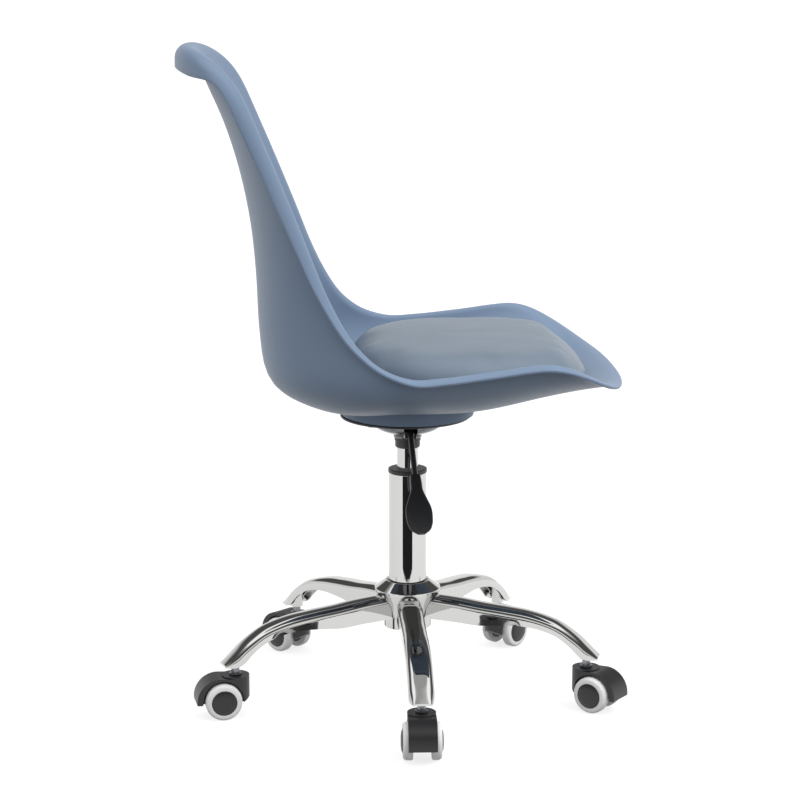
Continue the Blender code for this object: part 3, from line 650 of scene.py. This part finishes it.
def shell_loops(count, rings, arcs):
    """Closed loops from the pole out to the free edge of the rolled rim."""
    shares = rim_shares(count)
    centre = np.array([SHELL_CENTRE, 0.0])
    loops = []
    for step in range(1, rings + 1):
        spread = centre + (shares - centre) * (step / rings) ** 0.85
        loops.append(shell_point(spread[:, 0], spread[:, 1]))
    rim = loops[-1]
    inside = centre + (shares - centre) * 0.985
    outward = rim - shell_point(inside[:, 0], inside[:, 1])
    edge = np.roll(rim, -1, 0) - np.roll(rim, 1, 0)
    edge /= np.linalg.norm(edge, axis=1)[:, None]
    normal = np.cross(edge, outward)
    normal /= np.linalg.norm(normal, axis=1)[:, None]
    normal *= np.sign(normal[:, 0] + normal[:, 2])[:, None]
    leave = np.cross(normal, edge)
    leave *= np.sign((leave * outward).sum(1))[:, None]
    radius, sweep, straight = edge_roll(shares[:, 0])
    for step in range(1, arcs + 1):
        turn = sweep * step / arcs
        loops.append(rim + leave * radius * np.sin(turn) - normal * radius * (1 - np.cos(turn)))
    for share in (0.5, 1.0):
        last = loops[rings + arcs - 1]
        ahead = leave * np.cos(sweep) - normal * np.sin(sweep)
        loops.append(last + ahead * straight * share)
    return shell_point(SHELL_CENTRE, 0.0), loops


def vertex_normals(loops):
    """Normals of the wall from its neighbours along and round the loops."""
    grid = np.stack(loops)
    out = np.gradient(grid, axis=0)
    edge = np.roll(grid, -1, 1) - np.roll(grid, 1, 1)
    normals = np.cross(out, edge)
    normals /= np.linalg.norm(normals, axis=2)[..., None]
    if normals[0, :, 2].mean() < 0:
        normals = -normals
    pole = normals[0].mean(0)
    return pole / np.linalg.norm(pole), normals


def shell_mesh(count=360, rings=46, arcs=12, rounds=4):
    """Both skins of the wall from the pole to the free edge, which is rounded over."""
    pole, loops = shell_loops(count, rings, arcs)
    pole_normal, normals = vertex_normals(loops)
    half = SHELL_THICKNESS / 2
    rows = [loop + normal * half for loop, normal in zip(loops, normals)]
    ahead = loops[-1] - loops[-2]
    ahead /= np.linalg.norm(ahead, axis=1)[:, None]
    for step in range(1, rounds):
        turn = math.pi * step / rounds
        rows.append(loops[-1] + (normals[-1] * math.cos(turn) + ahead * math.sin(turn)) * half)
    rows += [loop - normal * half for loop, normal in zip(loops[::-1], normals[::-1])]
    return pole_to_pole(pole + pole_normal * half, rows, pole - pole_normal * half)


def pan_heights(places):
    """Height of the middle of the pan above each (x, y), from its nearest samples."""
    along, cross = np.meshgrid(np.linspace(0.5, 1.0, 500), np.linspace(-0.75, 0.75, 301))
    points = shell_point(along.ravel(), cross.ravel())
    found = []
    for x, y in places:
        away = np.hypot(points[:, 0] - x, points[:, 1] - y)
        near = np.argpartition(away, 6)[:6]
        weight = 1 / (away[near] + 1e-6)
        found.append(float((points[near, 2] * weight).sum() / weight.sum()))
    return found


def foot_mesh(bottom, segments=120):
    """Round boss under the pan, with a small radius at its lower edge and a fillet into the pan."""
    turns = [2 * math.pi * step / segments for step in range(segments)]
    edge = np.array([(math.cos(turn), math.sin(turn)) for turn in turns])
    rings = (
        (FOOT_RADIUS * 0.5, 0),
        (FOOT_RADIUS - 0.0015, 0),
        (FOOT_RADIUS - 0.0004, 0.0004),
        (FOOT_RADIUS, 0.0015),
    )
    rows = []
    for radius, rise in rings:
        rows.append(np.column_stack([edge * radius, np.full(segments, bottom + rise)]))
    for radius in (FOOT_RADIUS + 0.002, FOOT_RADIUS * 0.5):
        rows.append(np.column_stack([edge * radius, pan_heights(edge * radius)]))
    return pole_to_pole((0, 0, bottom), rows, (0, 0, pan_heights([(0, 0)])[0]))


def add_shell():
    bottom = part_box("mounting_plate")[1].z + 0.0003
    shell = combine(shell_mesh(), foot_mesh(bottom), "UNION")
    place("shell", shell, "shell", "seat", ["seat_shell"], sharp=40, crisp=False)
    return surface_of(shell)


# --- Cushion -------------------------------------------------------------------------------


def cushion_rows(count, rings):
    """Loops under the cushion, following the pan, then over its side and top."""
    turn = 2 * math.pi * np.arange(count) / count
    power = 2 / CUSHION_POWER
    along = np.sign(np.cos(turn)) * np.abs(np.cos(turn)) ** power * CUSHION_REACH
    cross = np.sign(np.sin(turn)) * np.abs(np.sin(turn)) ** power * CUSHION_CROSS
    lift = SHELL_THICKNESS / 2 + CUSHION_CLEARANCE
    under = []
    for step in range(1, rings + 1):
        share = step / rings
        a = CUSHION_CENTRE + along * share
        c = cross * share
        base = shell_point(a, c)
        du = shell_point(a + 0.002, c) - shell_point(a - 0.002, c)
        dv = shell_point(a, c + 0.002) - shell_point(a, c - 0.002)
        normal = np.cross(du, dv)
        normal /= np.linalg.norm(normal, axis=1)[:, None]
        normal *= np.sign(normal[:, 2])[:, None]
        under.append(base + normal * lift)
    edge = under[-1]
    middle = edge.mean(0)
    reach = np.hypot(edge[:, 0] - middle[0], edge[:, 1] - middle[1]).max()
    over = []
    for share in (1.0, 0.996, 0.985, 0.97, 0.95, 0.92, 0.88, 0.82, 0.72, 0.60, 0.45, 0.30, 0.15):
        ring = edge.copy()
        ring[:, :2] = middle[:2] + (edge[:, :2] - middle[:2]) * share
        ahead = np.clip(ring[:, 0] - 0.19, 0, None)
        fall = 0.55 * ahead + 2.4 * ahead**2
        away = np.hypot(ring[:, 0] - middle[0], ring[:, 1]) / reach
        top = CUSHION_TOP + CUSHION_CROWN * (1 - away**2) - fall
        side = edge[:, 2] + 0.006
        ring[:, 2] = side + (top - side) * (1 - share**14) ** 0.45
        over.append(ring)
    return under, over, middle


def cushion_mesh(count=180, rings=12):
    under, over, middle = cushion_rows(count, rings)
    lift = SHELL_THICKNESS / 2 + CUSHION_CLEARANCE
    floor = shell_point(CUSHION_CENTRE, 0.0) + [0, 0, lift]
    peak = (middle[0], 0, CUSHION_TOP + CUSHION_CROWN)
    return pole_to_pole(floor, under + over, peak)


def surface_of(mesh):
    return BVHTree.FromPolygons([v.co for v in mesh.vertices], [p.vertices for p in mesh.polygons])


def inflated(mesh):
    """Shrinks a pad a little and blows it up as cloth. Gives its points before, and the result."""
    item = bpy.data.objects.new("pad", mesh)
    bpy.context.scene.collection.objects.link(item)
    for vertex in mesh.vertices:
        vertex.co -= vertex.normal * PAD_SHRINK
    remesh = item.modifiers.new("Remesh", "REMESH")
    remesh.mode = "VOXEL"
    remesh.voxel_size = PAD_VOXEL
    item.data = evaluated(item)
    item.modifiers.clear()
    start = [v.co.copy() for v in item.data.vertices]
    cloth = item.modifiers.new("Cloth", "CLOTH")
    cloth.settings.use_pressure = True
    cloth.settings.uniform_pressure_force = PAD_PRESSURE
    cloth.settings.effector_weights.gravity = 0
    scene = bpy.context.scene
    for step in range(1, PAD_FRAMES + 1):
        scene.frame_set(step)
    swollen = evaluated(item)
    scene.frame_set(1)
    bpy.data.objects.remove(item, do_unlink=True)
    return start, swollen


def cap_moves(start, swollen, shell):
    """Holds every point of the pad within reach of where it began and clear of the shell."""
    for vertex, before in zip(swollen.vertices, start):
        move = vertex.co - before
        if move.length > PAD_CAP:
            move *= PAD_CAP / move.length
        vertex.co = before + move
        for _ in range(4):
            near, _, _, away = shell.find_nearest(vertex.co)
            if near is None or away >= PAD_CLEAR:
                break
            back = before - near
            vertex.co = near + back.normalized() * PAD_CLEAR


def eased(mesh, rounds):
    """Averages the points of a mesh with their neighbours, to take small ripples out."""
    work = bmesh.new()
    work.from_mesh(mesh)
    for _ in range(rounds):
        bmesh.ops.smooth_vert(
            work, verts=work.verts, factor=0.5, use_axis_x=True, use_axis_y=True, use_axis_z=True
        )
    work.to_mesh(mesh)
    work.free()


def add_cushion(shell):
    mesh = cushion_mesh()
    start, swollen = inflated(mesh)
    cap_moves(start, swollen, shell)
    mesh = swollen
    eased(mesh, PAD_SMOOTHING)
    cushion = place("cushion", mesh, "cushion", "seat", ["seat_cushion"], sharp=80, crisp=False)
    cushion.modifiers.new("Round", "SUBSURF").levels = 1


# --- Base and casters ----------------------------------------------------------------------

LEG_ROOT = 0.0290
LEG_TIP = 0.2588
LEG_HALF_WIDTH = 0.0165
LEG_WALL = 0.0024
LEG_TOP = (
    (0.0300, 0.1405), (0.0700, 0.1372), (0.1000, 0.1332), (0.1350, 0.1296),
    (0.1650, 0.1256), (0.1900, 0.1192), (0.2050, 0.1136), (0.2200, 0.1048),
    (0.2340, 0.0945), (0.2480, 0.0815), (0.2600, 0.0700),
)
LEG_BOTTOM = (
    (0.0300, 0.1100), (0.0700, 0.1078), (0.1000, 0.1054), (0.1300, 0.1077),
    (0.1580, 0.1084), (0.1850, 0.1045), (0.2000, 0.0995), (0.2120, 0.0930),
    (0.2250, 0.0825), (0.2350, 0.0725), (0.2440, 0.0685), (0.2600, 0.0685),
)
HUB_SIDE = (
    (0.0312, 0.1080), (0.0321, 0.1170), (0.0338, 0.1237), (0.0365, 0.1300),
    (0.0392, 0.1355), (0.0430, 0.1435), (0.0437, 0.1480),
)


def leg_height(rows, reach):
    places, heights = zip(*rows)
    return float(spline(places, np.array(heights)[:, None], np.array([reach]))[0, 0])


def leg_half_width(reach):
    return LEG_HALF_WIDTH * float(1 - 0.26 * ease(np.array(reach), 0.2400, 0.2600))


def leg_section(reach, inset, low_offset, steps=10):
    """Section of a leg at one distance from the column: upright sides and a rounded back."""
    half = leg_half_width(reach) - inset
    high = leg_height(LEG_TOP, reach) - 1.3 * inset
    low = leg_height(LEG_BOTTOM, reach) + low_offset
    shoulder = min(0.011, 0.6 * (high - low))
    right = [(half, low), (half, high - shoulder)]
    for step in range(1, steps):
        turn = math.pi / 2 * step / steps
        across_ = half * math.cos(turn) ** 0.62
        right.append((across_, high - shoulder + shoulder * math.sin(turn) ** 0.9))
    left = [(-across_, z) for across_, z in reversed(right)]
    return right + [(0, high)] + left


def loft(places, sections):
    count = len(sections[0])
    vertices = [(place_, y, z) for place_, section in zip(places, sections) for y, z in section]
    last = (len(places) - 1) * count
    faces = [tuple(range(count)), tuple(range(last + count - 1, last - 1, -1))]
    for ring in range(len(places) - 1):
        for step in range(count):
            ahead = (step + 1) % count
            near = ring * count
            far = near + count
            faces.append((near + step, near + ahead, far + ahead, far + step))
    return mesh_from(vertices, faces)


def leg_body(inset, low_offset, first, last, steps=64):
    places = list(np.linspace(first, last, steps))
    return loft(places, [leg_section(float(place_), inset, low_offset) for place_ in places])


def leg_mesh():
    outer = leg_body(0.0, 0.0, LEG_ROOT, LEG_TIP)
    hollow = leg_body(LEG_WALL, -0.01, LEG_ROOT - 0.004, LEG_TIP - 0.0032, 48)
    channel = combine(outer, hollow, "DIFFERENCE")
    socket = disc(0.0088, 0.0665, 0.0950, 48)
    socket.transform(Matrix.Translation((STEM_CIRCLE, 0, 0)))
    solid = leg_body(0.0002, -0.02, 0.2200, LEG_TIP - 0.0002, 24)
    channel = combine(channel, combine(socket, solid, "INTERSECT"), "UNION")
    bore = disc(0.0057, 0.0400, 0.0773, 32)
    bore.transform(Matrix.Translation((STEM_CIRCLE, 0, 0)))
    channel = combine(channel, bore, "DIFFERENCE")
    side = [(radius + 0.0003, z) for radius, z in HUB_SIDE]
    hub = [(0, 0.0900), (0.0315, 0.0900), *side, (0, 0.1700)]
    channel = combine(channel, lathe(hub, 160), "DIFFERENCE")
    return softened(channel, 0.0007, 3, 40)


def fair_side(count=24):
    """The hub's side as a smooth line through its rows."""
    rows = np.array(HUB_SIDE[:-1])
    wanted = np.linspace(rows[0, 1], rows[-1, 1], count)
    radii = spline(rows[:, 1], rows[:, :1], wanted)[:, 0]
    return [(float(radius), float(z)) for radius, z in zip(radii, wanted)]


def leg_turn(number):
    return -90 + 72 * (number - 1)


def add_base():
    bore = 0.0253
    hub = lathe(
        [
            (bore, 0.0950), (0.0302, 0.0950), (0.0309, 0.0953), (0.0312, 0.0960),
            *fair_side(),
            (0.04345, 0.1452), (0.0437, 0.1470), (0.0436, 0.1480), (0.0431, 0.1485),
            (0.0300, 0.1579), (0.0292, 0.1586), (0.0283, 0.1586), (bore, 0.1536),
        ],
        160,
    )
    place("hub", hub, "chrome", "base", ["base_hub"], sharp=28)
    template = leg_mesh()
    for number in range(1, 6):
        cast = template.copy()
        place(f"leg_{number}_cast", cast, "chrome", "base", [f"leg_{number}"], leg_turn(number))


def hood_outline():
    points = [(-0.0192, 0.0275), (-0.0080, 0.0208), (0.0500, 0.0204)]
    for step in range(33):
        turn = math.radians(-6 + 96 * step / 32)
        points.append((0.0222 + 0.0305 * math.cos(turn), 0.0240 + 0.0305 * math.sin(turn)))
    points.append((0.0060, 0.0535))
    points.append((-0.0192, 0.0520))
    return points


def hood_mesh():
    body = prism(hood_outline(), -0.0180, 0.0180)
    keep = disc(0.0182, 0.0, 0.0600, 64)
    keep = combine(keep, box((0.0, -0.03, -0.01), (0.06, 0.03, 0.07)), "UNION")
    body = combine(body, keep, "INTERSECT")
    body = combine(body, disc(0.0181, 0.0400, 0.0553, 64), "UNION")
    for side in (-1, 1):
        low, high = sorted((side * 0.0112, side * 0.03))
        well = across(disc(0.0270, low, high, 96))
        well.transform(Matrix.Translation((TRAIL, 0, WHEEL_RADIUS)))
        body = combine(body, well, "DIFFERENCE")
    bore = across(disc(0.0031, -0.02, 0.02, 32))
    bore.transform(Matrix.Translation((TRAIL, 0, WHEEL_RADIUS)))
    body = combine(body, bore, "DIFFERENCE")
    body = combine(body, disc(0.0057, 0.0327, 0.06, 32), "DIFFERENCE")
    return softened(body, 0.0012, 3, 34)


def tyre_mesh(side):
    inner = 0.0167
    outline = [
        (inner, 0.0118), (0.0228, 0.0118), (0.0240, 0.0130),
        (0.0240, 0.0190), (0.0236, 0.0214), (0.0224, 0.0233), (0.0205, 0.0243), (inner, 0.0243),
    ]
    return across(lathe([(radius, side * z) for radius, z in outline], 96))


def core_mesh(side):
    bore = 0.0032
    outline = [
        (bore, 0.0118), (0.0164, 0.0118), (0.0164, 0.0240), (0.0159, 0.0245),
        (0.0150, 0.0244), (0.0146, 0.0247), (0.0130, 0.02555), (0.0110, 0.0262),
        (0.0070, 0.02665), (0.0, 0.0268), (0, 0.0238), (bore, 0.0238),
    ]
    return across(lathe([(radius, side * z) for radius, z in outline], 96))


def stem_mesh():
    outline = [
        (0, 0.0330), (0.0044, 0.0330), (0.0054, 0.0340), (0.0054, 0.0558), (0.0078, 0.0558),
        (0.0082, 0.0562), (0.0082, 0.0576), (0.0078, 0.0580), (0.0054, 0.0580),
        (0.0054, 0.0760), (0.0044, 0.0770), (0, 0.0770),
    ]
    return lathe(outline, 48)


def add_casters():
    hood, stem = hood_mesh(), stem_mesh()
    for number in range(1, 6):
        turn = math.radians(leg_turn(number))
        heading = CASTER_HEADINGS[number - 1]
        stand = Vector((STEM_CIRCLE * math.cos(turn), STEM_CIRCLE * math.sin(turn), 0))
        body = f"caster_{number}"
        nodes = [f"caster_hood_{number}"]
        place(f"hood_{number}", hood.copy(), "black_plastic", body, nodes, heading, stand)
        place(f"stem_{number}", stem.copy(), "steel", "base", [f"caster_stem_{number}"], 0, stand)
        ahead = Vector((math.cos(math.radians(heading)), math.sin(math.radians(heading)), 0))
        axle = stand + TRAIL * ahead + Vector((0, 0, WHEEL_RADIUS))
        for letter, side in (("a", 1), ("b", -1)):
            wheel = f"wheel_{number}{letter}"
            place(f"tread_{number}{letter}", tyre_mesh(side), "tyre", wheel,
                  [f"tyre_{number}{letter}"], heading, axle)
            place(f"cap_{number}{letter}", core_mesh(side), "black_plastic", wheel,
                  [f"wheel_core_{number}{letter}"], heading, axle)


# --- Column and mechanism ------------------------------------------------------------------


def add_column():
    tube = [
        (0.0053, 0.0985), (0.0242, 0.0985), (0.0250, 0.0993), (0.0250, 0.3039),
        (0.0246, 0.3045), (0.0228, 0.3045), (0.0228, 0.1010), (0.0053, 0.1010),
    ]
    place("column_tube", lathe(tube, 160), "chrome", "base", ["column_outer_tube"])
    bush = [
        (0.0141, 0.2350), (0.0225, 0.2350), (0.0225, 0.3048), (0.0252, 0.3048),
        (0.0256, 0.3052), (0.0256, 0.3089), (0.0253, 0.3096), (0.0245, 0.3100), (0.0141, 0.3100),
    ]
    place("guide_bush", lathe(bush, 128), "black_plastic", "base", ["column_guide_bush"])
    cylinder = [
        (0.0110, 0.1450), (0.0140, 0.1450), (0.0140, 0.3610), (0.0130, 0.3620),
        (0.0035, 0.3620), (0.0035, 0.3420), (0.0110, 0.3420),
    ]
    place("spring_cylinder", lathe(cylinder, 128), "chrome", "seat", ["gas_cylinder"])
    sleeve = [
        (0.0143, 0.3385), (0.0151, 0.3385), (0.0158, 0.3390), (0.0163, 0.3399),
        (0.0165, 0.3412), (0.0165, 0.3471), (0.0173, 0.3479), (0.0173, 0.3520), (0.0143, 0.3520),
    ]
    place("sleeve", lathe(sleeve, 128), "black_steel", "seat", ["socket_sleeve"])


def add_cone():
    top = 0.3802
    shape = lathe(
        [
            (0.0143, 0.3523), (0.0182, 0.3523), (0.0186, 0.3527), (0.0186, 0.3548),
            (0.0196, 0.3560), (0.0250, 0.3585), (0.0332, 0.3615), (0.0390, 0.3640),
            (0.0430, 0.3670), (0.0452, 0.3700), (0.0460, 0.3730), (0.0460, top),
            (0.0430, top), (0.0430, 0.3735), (0.0395, 0.3685), (0.0300, 0.3640),
            (0.0165, 0.3583), (0.0143, 0.3575),
        ],
        160,
    )
    slot = box((-0.0080, -0.0500, 0.3513), (0.0100, -0.0080, 0.3900))
    shape = combine(shape, slot, "DIFFERENCE")
    pivot = lever_pivot()
    pin = disc(0.0021, -0.0500, 0.0500, 32)
    pin.transform(Matrix.Rotation(math.radians(90), 4, "Y"))
    pin.transform(Matrix.Rotation(math.radians(LEVER_HEADING + 90), 4, "Z"))
    pin.transform(Matrix.Translation(pivot))
    shape = combine(shape, pin, "DIFFERENCE")
    shape = softened(shape, 0.0004, 2, 50)
    place("cone", shape, "chrome", "seat", ["swivel_cone"], finish="dark_chrome")


def lever_pivot():
    heading = math.radians(LEVER_HEADING)
    return Vector((0.0160 * math.cos(heading), 0.0160 * math.sin(heading), 0.3706))


def bar_mesh(points, radius, sides=32):
    vertices = []
    count = len(points)
    for index, (x, z) in enumerate(points):
        before = points[max(index - 1, 0)]
        after = points[min(index + 1, count - 1)]
        heading = math.atan2(after[1] - before[1], after[0] - before[0])
        for side in range(sides):
            turn = 2 * math.pi * side / sides
            lift = radius * math.sin(turn)
            along = x - lift * math.sin(heading)
            vertices.append((along, radius * math.cos(turn), z + lift * math.cos(heading)))
    faces = [tuple(range(sides)), tuple(range(count * sides - 1, (count - 1) * sides - 1, -1))]
    for ring in range(count - 1):
        for side in range(sides):
            ahead = (side + 1) % sides
            near = ring * sides
            faces.append((near + side, near + ahead, near + sides + ahead, near + sides + side))
    return mesh_from(vertices, faces)


def lever_line(distance):
    """The (x, z) point at a distance down the bar's slope from the pivot's side of the bend."""
    slope = math.radians(LEVER_SLOPE)
    return (LEVER_CORNER + distance * math.cos(slope), -distance * math.sin(slope))


def lever_points():
    """The bar's line: out from the pivot, round a short bend, then straight down the slope."""
    start, corner = Vector((-0.0195, 0)), Vector((LEVER_CORNER, 0))
    end = Vector(lever_line(PADDLE_START + 0.0175))
    into = corner + (start - corner).normalized() * 0.006
    leave = corner + (end - corner).normalized() * 0.006
    bend = []
    for step in range(9):
        share = step / 8
        bend.append(into.lerp(corner, share).lerp(corner.lerp(leave, share), share))
    return [tuple(p) for p in (start, *bend, end)]


def paddle_mesh():
    """Flat teardrop handle over the bar, from (distance, half width, half depth) rows."""
    rows = np.array((
        (0.000, 0.0070, 0.0060),
        (0.010, 0.0077, 0.0062),
        (0.022, 0.0082, 0.0060),
        (0.036, 0.0128, 0.0055),
        (0.048, 0.0166, 0.0050),
        (0.062, 0.0172, 0.0044),
        (0.074, 0.0154, 0.0036),
        (0.082, 0.0112, 0.0028),
        (PADDLE_LENGTH, 0.0050, 0.0020),
    ))
    places = np.linspace(0, PADDLE_LENGTH, 48)
    fair = spline(rows[:, 0], rows[:, 1:], places)
    sections = []
    for half, thick in fair:
        section = []
        for step in range(40):
            turn = 2 * math.pi * step / 40
            across_ = half * math.copysign(abs(math.cos(turn)) ** 0.7, math.cos(turn))
            up = thick * math.copysign(abs(math.sin(turn)) ** 0.7, math.sin(turn))
            section.append((across_, up))
        sections.append(section)
    body = loft([float(p) for p in places], sections)
    hole = disc(0.0043, -0.01, 0.0180, 32)
    hole.transform(Matrix.Rotation(math.radians(90), 4, "Y"))
    return softened(combine(body, hole, "DIFFERENCE"), 0.0006, 3, 45)


def add_lever():
    pivot = lever_pivot()
    hole = across(disc(0.0021, -0.02, 0.02, 24))
    bar = combine(bar_mesh(lever_points(), LEVER_BAR_RADIUS), hole, "DIFFERENCE")
    place("lever_bar", bar, "black_steel", "lever", ["lever_rod"], LEVER_HEADING, pivot)
    start = lever_line(PADDLE_START)
    paddle = paddle_mesh()
    paddle.transform(Matrix.Rotation(math.radians(LEVER_SLOPE), 4, "Y"))
    paddle.transform(Matrix.Translation((start[0], 0, start[1])))
    place("paddle", paddle, "black_plastic", "lever", ["lever_paddle"], LEVER_HEADING, pivot)


def add_plate():
    outline = [
        (0.0120, 0.3805), (0.0849, 0.3805), (0.0855, 0.3811), (0.0855, 0.3828),
        (0.0850, 0.3833), (0.0120, 0.3833),
    ]
    plate = lathe(outline, 160)
    plate.transform(Matrix.Translation((-0.0030, 0, 0)))
    places = [(-0.0030 + side * 0.0470, hand * 0.0470) for side in (1, -1) for hand in (1, -1)]
    for x, y in places:
        hole = disc(0.0032, 0.37, 0.39, 32)
        hole.transform(Matrix.Translation((x, y, 0)))
        plate = combine(plate, hole, "DIFFERENCE")
    place("plate", plate, "black_steel", "seat", ["mounting_plate"])
    head = lathe(
        [
            (0, 0.3760), (0.0045, 0.3760), (0.0055, 0.3764), (0.0062, 0.3774),
            (0.0064, 0.3788), (0.0064, 0.3802), (0.0028, 0.3802), (0.0028, 0.3925), (0, 0.3925),
        ],
        48,
    )
    key = disc(0.0026, 0.3740, 0.3782, 6)
    head = combine(head, key, "DIFFERENCE")
    for number, (x, y) in enumerate(places, 1):
        nodes = [f"seat_bolt_{number}"]
        place(f"bolt_{number}", head.copy(), "steel", "seat", nodes, 20 * number, (x, y, 0))


def finish_carried_nodes():
    """CAD nodes that stay as they are take the slot's finish."""
    slots = {row["node"]: row["material_slot"] for row in frame["record"]["subparts"]}
    for name, node in frame["nodes"].items():
        node.data.materials.clear()
        node.data.materials.append(LOOKS[slots[name]])


def write_sizes():
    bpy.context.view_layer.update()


add_camera()
add_studio()
shell_surface = add_shell()
add_cushion(shell_surface)
add_base()
add_casters()
add_column()
add_cone()
add_lever()
add_plate()
finish_carried_nodes()
write_sizes()
